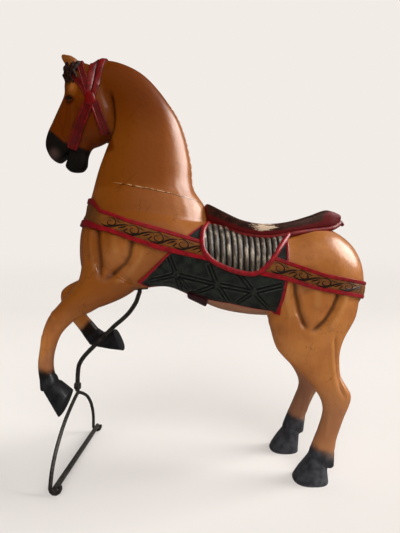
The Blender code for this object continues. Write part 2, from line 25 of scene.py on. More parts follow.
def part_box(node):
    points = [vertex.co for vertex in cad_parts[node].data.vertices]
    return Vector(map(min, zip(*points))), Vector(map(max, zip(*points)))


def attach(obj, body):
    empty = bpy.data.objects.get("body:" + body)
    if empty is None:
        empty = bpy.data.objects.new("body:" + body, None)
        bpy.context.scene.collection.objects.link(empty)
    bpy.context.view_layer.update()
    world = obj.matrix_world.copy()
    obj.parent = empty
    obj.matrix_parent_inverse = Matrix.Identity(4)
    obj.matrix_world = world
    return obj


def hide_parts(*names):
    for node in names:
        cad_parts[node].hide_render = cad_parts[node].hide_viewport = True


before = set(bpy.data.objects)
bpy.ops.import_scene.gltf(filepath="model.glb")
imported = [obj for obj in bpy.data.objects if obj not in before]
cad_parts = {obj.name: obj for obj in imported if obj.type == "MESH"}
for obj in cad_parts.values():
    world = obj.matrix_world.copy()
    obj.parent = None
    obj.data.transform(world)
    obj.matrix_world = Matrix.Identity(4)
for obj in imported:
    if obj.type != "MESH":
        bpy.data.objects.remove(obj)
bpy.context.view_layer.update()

LOG = logging.getLogger("carousel_horse")
MM = 0.001
WELD = 0.00001  # metres, within which two points are one
BODY = "root"
HORSE_NODE = "horse"
IRON_NODES = ("prop_rod", "prop_collar", "prop_fork", "foot_bar")

Row = tuple[float, ...]
Line = Sequence[Row]
Table = list[Row]
Spot = tuple[Vector, Vector]  # a place on the wood and its outward unit normal
Array = np.ndarray
Field = Callable[[Array, Array, Array, Array], Array]
BMesh = bmesh.types.BMesh
Mesh = bpy.types.Mesh
Socket = bpy.types.NodeSocket
Paint = Socket | str  # a colour, from a node or as an sRGB hex code
Adder = Callable[..., Socket]  # add_node on one material's nodes
Inputs = dict[str, Paint | float]  # what each of a shader's inputs gets

# The foot bar's middle in the carver's drawing, which fixes the drawing on the frame.
BAR_X, BAR_MIDDLE_Y = -380.0, 25.0


class Slot(Enum):
    """Material slots of the record."""

    WOOD = "painted_wood"
    IRON = "wrought_iron"


class Side(Enum):
    """The two sides of the horse, as the sign of Y."""

    NEAR = -1
    FAR = 1


# --- carved form --------------------------------------------------------------------------------------
TRUNK: Table = [
    (-362, 600, -362, 660, 70, 0), (-353, 550, -353, 716, 146, 0), (-326, 522, -326, 752, 208, 0),
    (-270, 508, -270, 774, 248, 0), (-190, 516, -190, 776, 268, 0), (-110, 522, -110, 760, 276, 0),
    (-40, 494, -40, 730, 280, 0), (40, 458, 40, 700, 284, 0), (130, 441, 130, 682, 284, 0),
    (220, 438, 220, 686, 282, 0), (300, 444, 300, 700, 284, 0), (360, 448, 360, 694, 274, 0),
    (410, 452, 410, 664, 234, 0), (440, 462, 440, 626, 176, 0), (458, 492, 458, 578, 90, 0),
]
NECK: Table = [
    (-348, 670, 16, 706, 236, 0), (-348, 742, 2, 760, 206, 0), (-334, 806, -34, 816, 172, 0),
    (-317, 872, -41, 880, 150, 0), (-298, 926, -52, 938, 134, 0), (-287, 958, -65, 985, 122, 0),
    (-287, 985, -86, 1036, 114, 0), (-292, 1012, -134, 1108, 104, 0), (-298, 1046, -190, 1164, 96, 0),
    (-318, 1070, -258, 1196, 90, 0), (-345, 1085, -318, 1204, 84, 0),
]
HEAD: Table = [
    (-386, 1192, -306, 1166, 80, 0), (-410, 1166, -288, 1112, 102, 0), (-420, 1124, -276, 1070, 114, 0),
    (-420, 1092, -270, 1022, 116, 0), (-442, 1044, -280, 975, 104, 0), (-457, 1012, -312, 950, 90, 0),
    (-470, 985, -360, 936, 76, 0), (-477, 958, -392, 925, 66, 0), (-476, 938, -412, 910, 62, 0),
    (-466, 915, -430, 896, 54, 0), (-456, 902, -440, 893, 34, 0),
]
JAW: Table = [
    (-400, 962, -338, 944, 66, 0), (-404, 930, -350, 916, 58, 0), (-413, 902, -352, 893, 54, 0),
    (-421, 885, -353, 881, 50, 0), (-404, 866, -366, 866, 36, 0),
]
# The open mouth, cut from side to side between the upper lip and the jaw.
MOUTH = [
    (-401, 927), (-411, 920), (-426, 905), (-437, 895), (-450, 868), (-425, 858), (-414, 886),
    (-402, 913),
]
NEAR_FORELEG: Table = [
    (-345, 606, -194, 524, 96, -70), (-352, 548, -232, 496, 92, -76), (-366, 528, -280, 475, 84, -82),
    (-385, 502, -321, 452, 76, -85), (-407, 475, -350, 440, 66, -86), (-432, 444, -377, 418, 58, -87),
    (-448, 406, -399, 393, 50, -87), (-456, 366, -413, 360, 44, -86), (-462, 322, -421, 320, 43, -86),
    (-461, 288, -418, 286, 46, -86), (-457, 266, -411, 272, 50, -85), (-451, 246, -412, 262, 50, -85),
]
FAR_FORELEG: Table = [
    (-345, 606, -196, 526, 96, 70), (-368, 562, -250, 488, 90, 78), (-404, 541, -318, 458, 80, 84),
    (-438, 524, -362, 446, 72, 86), (-460, 500, -384, 444, 64, 86), (-453, 457, -390, 448, 56, 86),
    (-425, 412, -382, 434, 47, 86), (-400, 381, -360, 409, 44, 86), (-381, 353, -340, 386, 48, 86),
    (-370, 340, -330, 376, 50, 86),
]
HIND_LEG: Table = [
    (205, 535, 438, 525, 132, 68), (178, 440, 424, 448, 124, 74), (182, 410, 405, 412, 116, 78),
    (190, 378, 386, 381, 106, 82), (203, 347, 374, 347, 96, 85), (233, 314, 371, 314, 84, 88),
    (270, 280, 373, 280, 70, 92), (296, 250, 389, 252, 60, 95), (315, 220, 401, 228, 54, 96),
    (322, 196, 394, 199, 49, 96), (321, 175, 383, 175, 46, 96), (312, 146, 372, 146, 45, 96),
    (299, 112, 360, 112, 47, 96), (291, 92, 356, 90, 50, 96), (284, 74, 352, 72, 54, 96),
    (284, 54, 344, 50, 54, 96),
]
# How far the far hind leg lies behind the near one at each height: its thigh further back, its foot
# further forward.
FAR_HIND_LAG = [
    (600, 8), (440, 20), (400, 26), (347, 18), (314, 3), (250, -6), (216, -14), (170, -29), (112, -33),
    (0, -34),
]
# Cuff of hair and hoof, cut by cut from the fetlock down; the last cut is the sole.
NEAR_HIND_FOOT = [
    [(299, 94, 349, 90, 46, 96), (290, 80, 352, 76, 56, 96), (281, 61, 350, 41, 62, 96),
     (280, 55, 346, 37, 59, 96)],
    [(284, 66, 336, 56, 54, 96), (275, 52, 331, 30, 70, 96), (257, 29, 332, 14, 84, 96),
     (243, 8, 333, 4, 91, 96), (240, 2, 333, 1, 92, 96), (240, 0, 333, 0, 91, 96)],
]
FAR_HIND_FOOT = [
    [(270, 110, 322, 104, 46, 96), (263, 98, 321, 90, 55, 96), (257, 78, 317, 61, 61, 96),
     (257, 71, 314, 56, 57, 96)],
    [(261, 80, 309, 68, 54, 96), (254, 66, 302, 50, 68, 96), (233, 40, 300, 28, 80, 96),
     (215, 13, 298, 8, 90, 96), (210, 2, 298, 1, 92, 96), (210, 0, 298, 0, 91, 96)],
]
NEAR_FORE_FOOT = [
    [(-456, 290, -422, 288, 34, -86), (-456, 266, -412, 276, 48, -86), (-453, 241, -409, 263, 58, -85),
     (-449, 238, -408, 258, 54, -85)],
    [(-450, 250, -412, 266, 48, -85), (-443, 236, -402, 262, 62, -85), (-421, 201, -387, 250, 72, -85),
     (-402, 171, -374, 239, 80, -85), (-400, 168, -372, 237, 79, -85)],
]
FAR_FORE_FOOT = [
    [(-386, 368, -355, 391, 34, 86), (-378, 352, -338, 384, 48, 86), (-365, 335, -323, 373, 58, 86),
     (-360, 333, -321, 370, 54, 86)],
    [(-372, 348, -335, 374, 48, 86), (-352, 330, -316, 374, 62, 86), (-300, 321, -300, 379, 74, 86),
     (-261, 317, -289, 382, 84, 86), (-258, 316, -288, 382, 83, 86)],
]
EAR: Table = [
    (-408, 1150, -368, 1176, 34, 30), (-409, 1166, -374, 1189, 31, 31), (-412, 1178, -384, 1197, 26, 31),
    (-419, 1190, -394, 1202, 20, 32), (-422, 1200, -409, 1205, 12, 32), (-421, 1205, -413, 1207, 4, 32),
]
# Muscle hollows and the ridges beside them, seen from the side: half width, depth (- is a ridge), points.
# The hollows also get dark glaze and painted shade, and the ridges a painted highlight.
STROKES = [
    (16, 9.0, [(-294, 706), (-292, 652), (-288, 606), (-284, 571), (-283, 538)]),
    (16, 9.0, [(-190, 690), (-200, 630), (-204, 608), (-216, 586), (-241, 566), (-265, 550), (-280, 534)]),
    (15, -3.0, [(-314, 690), (-311, 630), (-306, 590), (-300, 552)]),
    (26, -3.0, [(-246, 670), (-242, 610)]),
    (20, -3.0, [(-164, 640), (-172, 604), (-206, 562), (-256, 526)]),
    (16, 10.0, [(236, 560), (243, 505), (251, 460), (262, 430), (279, 402)]),
    (16, 10.0, [(364, 552), (356, 498), (343, 468), (322, 437), (298, 416), (272, 400)]),
    (15, -3.0, [(214, 540), (220, 500), (227, 462), (236, 432)]),
    (26, -3.0, [(300, 540), (298, 462)]),
    (15, -4.5, [(382, 520), (372, 478), (350, 438), (318, 406)]),
    (10, 10.5, [(-279, 1100), (-271, 1062), (-267, 1015), (-271, 985), (-284, 961), (-304, 948),
                (-322, 942)]),
    (9, 6.0, [(350, 404), (357, 330), (361, 285), (367, 250), (382, 214)]),
    (10, -3.5, [(336, 392), (342, 322), (347, 270), (354, 224)]),
    (8, 3.0, [(316, 190), (302, 122)]),
    (8, -2.5, [(336, 186), (322, 112)]),
    (8, -3.5, [(-385, 1056), (-384, 1006), (-392, 984)]),
    (10, 4.0, [(-371, 1050), (-371, 1004), (-388, 958)]),
    (8, 3.0, [(-400, 1046), (-410, 1000), (-428, 958)]),
    (8, -3.0, [(-414, 1050), (-440, 992)]),
    (10, -2.5, [(-434, 476), (-404, 430)]),
    (8, 3.5, [(-430, 410), (-437, 290)]),
    (7, -2.5, [(-446, 400), (-452, 290)]),
]
# Locks of the forelock that fall over the temple, seen from the side.
TEMPLE_LOCKS = [
    [(-396, 1166), (-405, 1150), (-405, 1132), (-398, 1116)],
    [(-386, 1170), (-395, 1150), (-397, 1132), (-388, 1112)],
    [(-377, 1174), (-385, 1152), (-387, 1134), (-380, 1115)],
    [(-368, 1176), (-376, 1156), (-377, 1140), (-371, 1126)],
]
# The crease between foreleg and chest that the carver rounded over, and how far the rounding reaches.
ELBOW_CREASE = [(-300, 545), (-250, 520), (-196, 500)]
ELBOW_REACH = 24
NOSTRIL = (-462, 957, 25, 12, 7)  # x, z, y, radius, depth
EYE = (-393, 1068, 45)  # x, z, y
EYE_RADIUS = 10.0
# Rings round the eye as (radius, half width): the dark glaze and painted shade at the lids, and the sunk wood
# round them.
LID_RING, SOCKET_RING, SOCKET_SINK = (9, 9), (17, 7), 3.0
MUZZLE_LINE = [(-490, 1000), (-466, 987), (-440, 969), (-410, 942), (-380, 936), (-350, 926)]
MANE = [(-30, 812), (-41, 872), (-52, 935), (-66, 985), (-87, 1034), (-111, 1072)]
# Ovals as (x, z, half length, half height): the paler brow between forelock and eye and the paler chest above
# the elbow, where there is less browning and painted shade, and the grey corner of the lips, an oval of
# paint.
BROW, CHEST, LIP_CORNER = (-384, 1103, 21, 36), (-215, 600, 95, 95), (-444, 914, 26, 26)

# --- tack, seen from the side -------------------------------------------------------------------------
BAND_TOP = [
    (-420, 800), (-322, 777), (-289, 738), (-210, 708), (-125, 684), (-9, 648), (188, 604), (315, 562),
    (500, 528),
]
BAND_LOW = [
    (-420, 712), (-254, 671), (-188, 646), (-125, 625), (1, 596), (139, 558), (217, 542), (315, 513),
    (500, 482),
]
BLANKET_TOP = [(-6, 700), (229, 672)]
BLANKET_FRONT = [(-6, 700), (-189, 537), (-164, 512)]
BLANKET_REAR = [(229, 672), (218, 534), (205, 448)]
BLANKET_FOOT = [(-164, 512), (-80, 500), (-42, 492), (68, 478), (156, 457), (205, 448)]
# The blanket's chip-carved stars: centre, then the far end of each pair of cut lines.
STARS = [
    ((-78, 560), [(-98, 612), (-160, 540), (31, 533), (-66, 505), (-40, 512)]),
    ((31, 533), [(-44, 500), (66, 482), (128, 513), (8, 590)]),
    ((128, 513), [(84, 566), (82, 478), (176, 464), (208, 532)]),
]
FLAP_TOP, FLAP_FRONT, FLAP_REAR = [(-2, 700), (236, 690)], [(-2, 700), (-7, 672)], [(236, 690), (232, 668)]
FLAP_FOOT = [
    (-7, 672), (-5, 624), (20, 597), (62, 576), (109, 564), (138, 567), (171, 592), (200, 629),
    (232, 668),
]
PIPING = [
    (6, 704), (-8, 668), (-5, 624), (20, 595), (62, 574), (109, 562), (140, 565), (171, 590), (200, 627),
    (234, 668),
]
SADDLE: Table = [
    (0, 714, -3, 756, 56, 0), (8, 702, 9, 767, 90, 0), (50, 683, 48, 745, 150, 0),
    (100, 664, 100, 717, 192, 0), (150, 655, 150, 705, 206, 0), (200, 657, 200, 705, 204, 0),
    (250, 667, 250, 714, 186, 0), (300, 675, 300, 730, 158, 0), (345, 681, 343, 746, 136, 0),
    (364, 686, 368, 744, 122, 0), (384, 698, 393, 735, 94, 0), (390, 704, 399, 728, 78, 0),
]
ROSETTE = (-330, 1064)

# The two stretches of the band that the scroll runs along, ahead of the blanket and behind it.
SCROLL_RUNS = ((-272.0, -12.0), (178.0, 420.0))
# One repeat of the scroll, drawn flat: each stroke's points (along, up) and half its width.
SCROLL = [
    ([(-14, 11), (-7, 15.5), (3, 15.5), (10.5, 10.5), (13.5, 2), (10.5, -6.5), (3, -11), (-5.5, -10),
      (-10.5, -4), (-8.5, 3.5), (-2, 6)], 2.0),
    ([(-27, -14), (-14, -17), (1, -15.5), (14, -8), (28, 2), (42, 9.5), (51, 10)], 2.8),
    ([(24, -10.5), (33, -4), (41, 2), (47, 4)], 2.2),
    ([(37, -15), (43, -9.5), (48, -3), (50, 0)], 1.9),
    ([(13, 15.5), (19, 11.5), (28, 10)], 1.4),
]

# Cuts of straps as (share of the half width, rise in millimetres above the strap's edge): the girth's soft
# crown, the bridle's two raised beads with a flat middle, and the crown strap's two rounded halves.
GIRTH_CUT = [(-1, 0), (-0.92, 2.0), (-0.7, 2.5), (0, 2.5), (0.7, 2.5), (0.92, 2.0), (1, 0)]
BEADED_CUT = [(-1, 0), (-0.92, 1.4), (-0.66, 1.4), (-0.56, -0.2), (0, 0), (0.56, -0.2), (0.66, 1.4),
              (0.92, 1.4), (1, 0)]
GROOVED_CUT = [(-1, 0), (-0.9, 1.6), (-0.3, 1.6), (-0.12, 0), (0, -2.2), (0.12, 0), (0.3, 1.6), (0.9, 1.6),
               (1, 0)]
# Half a rosette, turned about its middle: radius, height.
BOSS = [(0, 5.6), (5, 5.4), (10, 4.8), (13, 3.6), (14.6, 1.6), (15, -1), (15, -8), (0, -8)]


# --- drawing tools ------------------------------------------------------------------------------------
def drawing_shift() -> Vector:
    """Read from the foot bar's place where the carver's drawing lies on the frame.

    Returns:
        The step from the drawing to the frame, in metres.
    """
    low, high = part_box("foot_bar")
    middle = (low + high) / 2
    return Vector((middle.x - BAR_X * MM, middle.y - BAR_MIDDLE_Y * MM, 0.0))


SHIFT = drawing_shift()


def between(rows: Line, cuts: int) -> list[list[float]]:
    """Smooth a table with a curve through every row.

    Args:
        rows: The table's rows.
        cuts: How many steps lead from one row to the next.

    Returns:
        The finer table, ending on the last row.
    """
    out = []
    for i in range(len(rows) - 1):
        p0, p1, p2, p3 = rows[max(i - 1, 0)], rows[i], rows[i + 1], rows[min(i + 2, len(rows) - 1)]
        for t in (k / cuts for k in range(cuts)):
            out.append([
                0.5 * (2 * b + (c - a) * t + (2 * a - 5 * b + 4 * c - d) * t * t
                       + (3 * b - a - 3 * c + d) * t**3)
                for a, b, c, d in zip(p0, p1, p2, p3)
            ])
    out.append(list(rows[-1]))
    return out


def along(points: Line, share: float) -> Row:
    """Find a point on a broken line.

    Args:
        points: The line.
        share: How far along it the point lies, from 0 to 1.

    Returns:
        The point.
    """
    lengths = [math.dist(a, b) for a, b in zip(points, points[1:])]
    left = min(max(share, 0.0), 1.0) * sum(lengths)
    for a, b, length in zip(points, points[1:], lengths):
        if left <= length:
            return tuple(p + (q - p) * left / length for p, q in zip(a, b))
        left -= length
    return tuple(points[-1])


def height_at(line: Line, x: float | Array) -> float | Array:
    """Return the height of a side outline at x, taken from left to right."""
    return np.interp(x, [p[0] for p in line], [p[1] for p in line])


def spindle(share: float, tip: float) -> float:
    """Return how full a bar that tapers to both ends is, its last stretch no thinner than at the tip."""
    return math.sin(math.pi * min(max(share, tip), 1 - tip))


def oval(station: Row, sides: int, power: float) -> list[Vector]:
    """Return one cut of a carved limb as a ring of points.

    Args:
        station: The cut, as the tables give it.
        sides: How many points the ring has.
        power: How square the cut is; 2 is an ellipse.

    Returns:
        The ring's points, in metres.
    """
    x0, z0, x1, z1, width, y = (v * MM for v in station)
    ring = []
    for k in range(sides):
        angle = 2 * math.pi * (k + 0.5) / sides
        c, s = math.cos(angle), math.sin(angle)
        u = 0.5 + 0.5 * math.copysign(abs(c) ** (2 / power), c)
        v = 0.5 * width * math.copysign(abs(s) ** (2 / power), s)
        ring.append(Vector((x0 + (x1 - x0) * u, y + v, z0 + (z1 - z0) * u)))
    return ring


def sweep(bm: BMesh, rings: Sequence[Sequence[Vector]], closed: bool = False) -> list[list]:
    """Lay a skin through rings of points, each ring extruded from the one before.

    Args:
        bm: The mesh that gets the skin.
        rings: Rings with the same number of points.
        closed: Whether the last ring lies on the first, as in a hoop; otherwise both ends are filled.

    Returns:
        The vertices of each ring, in the order of its points.
    """
    count = len(rings[0])

    def loop(row: list) -> list:
        """Return the edges round a ring of vertices."""
        return [bm.edges.get((row[k], row[(k + 1) % count])) for k in range(count)]

    first = list(bmesh.ops.create_circle(bm, segments=count, radius=1)["verts"])
    for vert, point in zip(first, rings[0]):
        vert.co = point
    made = [first]
    for ring in rings[1:]:
        fresh = set(bmesh.ops.extrude_edge_only(bm, edges=loop(made[-1]))["geom"])
        row = []
        for vert, point in zip(made[-1], ring):
            twin = next(e.other_vert(vert) for e in vert.link_edges if e.other_vert(vert) in fresh)
            twin.co = point
            row.append(twin)
        made.append(row)
    if closed:
        bmesh.ops.remove_doubles(bm, verts=made[0] + made[-1], dist=WELD)
    else:
        for row in (made[0], made[-1]):
            bmesh.ops.edgeloop_fill(bm, edges=loop(row))
    return made


def loft(bm: BMesh, rows: Line, sides: int = 24, power: float = 2.2, cuts: int = 4,
         mirror: bool = False) -> list[list]:
    """Carve a limb through its stations.

    Args:
        bm: The mesh that gets the limb.
        rows: The stations.
        sides: Points round each cut.
        power: How square each cut is.
        cuts: Steps from one station to the next.
        mirror: Whether the limb is turned to the other side of the horse.

    Returns:
        The vertices of each ring.
    """
    rings = [oval(row, sides, power) for row in (between(rows, cuts) if cuts > 1 else rows)]
    if mirror:
        rings = [[Vector((p.x, -p.y, p.z)) for p in reversed(ring)] for ring in rings]
    return sweep(bm, rings)


def tube(bm: BMesh, points: Sequence[Vector], radius: float | Callable[[float], float], sides: int = 12,
         flat: float = 1.0, up: Vector | None = None) -> None:
    """Bend a round or flattened bar through points.

    Args:
        bm: The mesh that gets the bar.
        points: The middle of the bar, in metres.
        radius: Its radius in metres, or a function of the share of the way along.
        sides: Points round the bar.
        flat: How deep the bar is for its width.
        up: The direction of its depth; left out, the bar's frame is carried along it.
    """
    rings = []
    normal = up
    turns = [2 * math.pi * n / sides for n in range(sides)]
    for k, point in enumerate(points):
        ahead = points[min(k + 1, len(points) - 1)] - points[max(k - 1, 0)]
        ahead.normalize()
        normal = up or normal or ahead.orthogonal()
        normal = (normal - ahead * normal.dot(ahead)).normalized()
        across = ahead.cross(normal)
        size = radius(k / (len(points) - 1)) if callable(radius) else radius
        rings.append([
            point + across * size * math.cos(a) + normal * size * flat * math.sin(a) for a in turns
        ])
    sweep(bm, rings)


def smooth_path(points: Line, cuts: int) -> list[Vector]:
    """Return a smooth path, in metres, through points in millimetres."""
    return [Vector(p) * MM for p in between(points, cuts)]


def raised(spot: Spot, rise: float) -> Vector:
    """Return the point that stands off a spot on the wood by a rise in millimetres."""
    return spot[0] + spot[1] * rise * MM


def grow(seeds: Iterable) -> set:
    """Find a whole island of a mesh.

    Args:
        seeds: Some of its vertices.

    Returns:
        Every vertex joined to them, and they themselves.
    """
    seen, ahead = set(), list(seeds)
    while ahead:
        vert = ahead.pop()
        if vert not in seen:
            seen.add(vert)
            ahead.extend(e.other_vert(vert) for e in vert.link_edges)
    return seen


def mark(bm: BMesh, name: str, verts: Iterable, value: float) -> None:
    """Write one value of a named layer, which is made where it's missing, on some vertices.

    Args:
        bm: The mesh.
        name: The layer's name.
        verts: The vertices.
        value: Their value.
    """
    lookup = bm.verts.layers.float.get(name) or bm.verts.layers.float.new(name)
    for vert in verts:
        vert[lookup] = value


def mesh_of(name: str, bm: BMesh) -> Mesh:
    """Turn a bmesh into a mesh.

    Args:
        name: The mesh's name.
        bm: The bmesh, which is used up.

    Returns:
        The mesh.
    """
    mesh = bpy.data.meshes.new(name)
    bm.to_mesh(mesh)
    bm.free()
    return mesh


def set_down(name: str, data: bpy.types.ID) -> bpy.types.Object:
    """Put a mesh, lamp or camera in the scene.

    Args:
        name: The object's name.
        data: What it shows.

    Returns:
        The object.
    """
    made = bpy.data.objects.new(name, data)
    bpy.context.scene.collection.objects.link(made)
    return made


def publish(name: str, bm: BMesh, *finishes: Finish, crease: float) -> None:
    """Turn a finished bmesh, in the carver's drawing, into a piece on the frame; it is used up.

    Args:
        name: The piece's name.
        bm: Its mesh.
        finishes: Its finishes, in the order of the faces' material numbers.
        crease: Edges sharper than this, in degrees, stay crisp.
    """
    bmesh.ops.recalc_face_normals(bm, faces=bm.faces)
    bmesh.ops.translate(bm, verts=bm.verts, vec=SHIFT)
    dress(mesh_of(name, bm), *finishes, crease=crease)


def dress(mesh: Mesh, *finishes: Finish, crease: float) -> None:
    """Make a piece of a mesh that already lies on the frame.

    Args:
        mesh: The mesh, which has the piece's name.
        finishes: Its finishes, in the order of the faces' material numbers.
        crease: Edges sharper than this, in degrees, stay crisp.
    """
    for finish in finishes:
        mesh.materials.append(finish.make())
    mesh.shade_smooth()
    mesh.set_sharp_from_angle(angle=math.radians(crease))
    piece = set_down(mesh.name, mesh)
    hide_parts(HORSE_NODE)
    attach(piece, BODY)
    LOG.info("%s: %d faces", mesh.name, len(mesh.polygons))


# --- finishes -----------------------------------------------------------------------------------------
FINER_SHARE = 0.55  # how strong each finer layer of a noise is


class Node(Enum):
    """Kinds of shader node: class, inputs in the order that calls give them, output, own settings.

    A Mix node has sockets of the same name for each type of value, so its colours go by number.
    """

    NOISE = ("TexNoise", ("Vector", "Scale", "Detail", "Roughness"), "Fac", {})
    CELLS = ("TexVoronoi", ("Vector", "Scale"), "Distance", {"feature": "DISTANCE_TO_EDGE"})
    MOVED = ("Mapping", ("Vector", "Location", "Rotation", "Scale"), 0, {})
    PLACE = ("TexCoord", (), "Object", {})
    HEIGHT = ("SeparateXYZ", (0,), 2, {})
    LAYER = ("Attribute", (), "Fac", {"attribute_type": "GEOMETRY"})
    RANGE = ("MapRange", ("Value", "From Min", "From Max", "To Min", "To Max"), "Result",
             {"interpolation_type": "SMOOTHSTEP"})
    BLEND = ("Mix", (0, 6, 7), 2, {"data_type": "RGBA"})
    SUM = ("Math", (0, 1), 0, {"operation": "ADD"})
    PRODUCT = ("Math", (0, 1), 0, {"operation": "MULTIPLY"})
    WITHIN = ("Math", (0, 1, 2), 0, {"operation": "COMPARE"})
    REACH = ("VectorMath", (0, 1), "Value", {"operation": "DOT_PRODUCT"})
    BUMP = ("Bump", ("Height", "Distance", "Strength", "Normal"), "Normal", {})


def linear(code: str) -> Row:
    """Turn an sRGB hex colour linear.

    Args:
        code: The colour, such as 'a06030'.

    Returns:
        Its linear red, green and blue, and full opacity.
    """
    out = []
    for k in (0, 2, 4):
        c = int(code[k:k + 2], 16) / 255
        out.append(c / 12.92 if c <= 0.04045 else ((c + 0.055) / 1.055) ** 2.4)
    return (*out, 1.0)


def feed(socket: Socket, value: Paint | float | Row | None) -> None:
    """Give a node's input its value.

    Args:
        socket: The input.
        value: A socket to link, a hex colour or a constant; None leaves the input as it is.
    """
    if isinstance(value, Socket):
        socket.id_data.links.new(value, socket)
    elif value is not None:
        socket.default_value = linear(value) if isinstance(value, str) else value


def add_node(tree: bpy.types.NodeTree, kind: Node, *values: Paint | float | Row | None, **settings: str
             ) -> Socket:
    """Add a shader node with its settings and links.

    Args:
        tree: The material's nodes.
        kind: Its kind.
        values: What its inputs get, in the kind's order.
        settings: Further settings of the node.

    Returns:
        Its output.
    """
    name, inputs, output, usual = kind.value
    made = tree.nodes.new("ShaderNode" + name)
    for key, value in (usual | settings).items():
        setattr(made, key, value)
    for key, value in zip(inputs, values):
        feed(made.inputs[key], value)
    return made.outputs[output]


def marks(add: Adder, place: Socket, size: float, detail: float, stretch: Row | None = None) -> Socket:
    """Return noise with marks of a real size.

    Args:
        add: Adds a node to the material.
        place: The coordinates.
        size: The marks' size in millimetres.
        detail: How many finer layers it has.
        stretch: How much denser it is along each axis, where it isn't even.

    Returns:
        The noise's value.
    """
    if stretch:
        place = add(Node.MOVED, place, None, None, stretch)
    return add(Node.NOISE, place, 1 / (size * MM), detail, FINER_SHARE)


def wash(add: Adder, base: Paint, *coats: tuple[Socket, float, float, float, Paint]) -> Socket:
    """Lay thin coats of colour over one another.

    Args:
        add: Adds a node to the material.
        base: The ground colour.
        coats: Each coat as (mask, where it starts, where it is full, how much it covers, its colour).

    Returns:
        The finished colour.
    """
    for mask, low, high, most, colour in coats:
        base = add(Node.BLEND, add(Node.RANGE, mask, low, high, 0.0, most), base, colour)
    return base


def bumps(add: Adder, *layers: tuple[Socket, float, float]) -> Socket:
    """Stack bumps on one another.

    Args:
        add: Adds a node to the material.
        layers: Each bump as (height, depth in millimetres, strength).

    Returns:
        The normal that they give together.
    """
    normal = None
    for height, depth, strength in layers:
        normal = add(Node.BUMP, height, depth * MM, strength, normal)
    return normal


@dataclass(frozen=True)
class Finish:
    """A finish, named for what it really is; the pieces that have it share one material."""

    name: str

    def make(self) -> bpy.types.Material:
        """Make the material, or find it where an earlier piece has it.

        Returns:
            The material.
        """
        made = bpy.data.materials.get(self.name)
        if made is None:
            made = bpy.data.materials.new(self.name)
            made.use_nodes = True
            add = partial(add_node, made.node_tree)
            shader = made.node_tree.nodes["Principled BSDF"]
            for name, value in self.surface(add, add(Node.PLACE)).items():
                feed(shader.inputs[name], value)
        return made

    def surface(self, add: Adder, place: Socket) -> Inputs:
        """Work out the surface from its Object coordinates.

        Args:
            add: Adds a node to the material.
            place: The coordinates.

        Returns:
            What each of the shader's inputs gets.
        """
        raise NotImplementedError


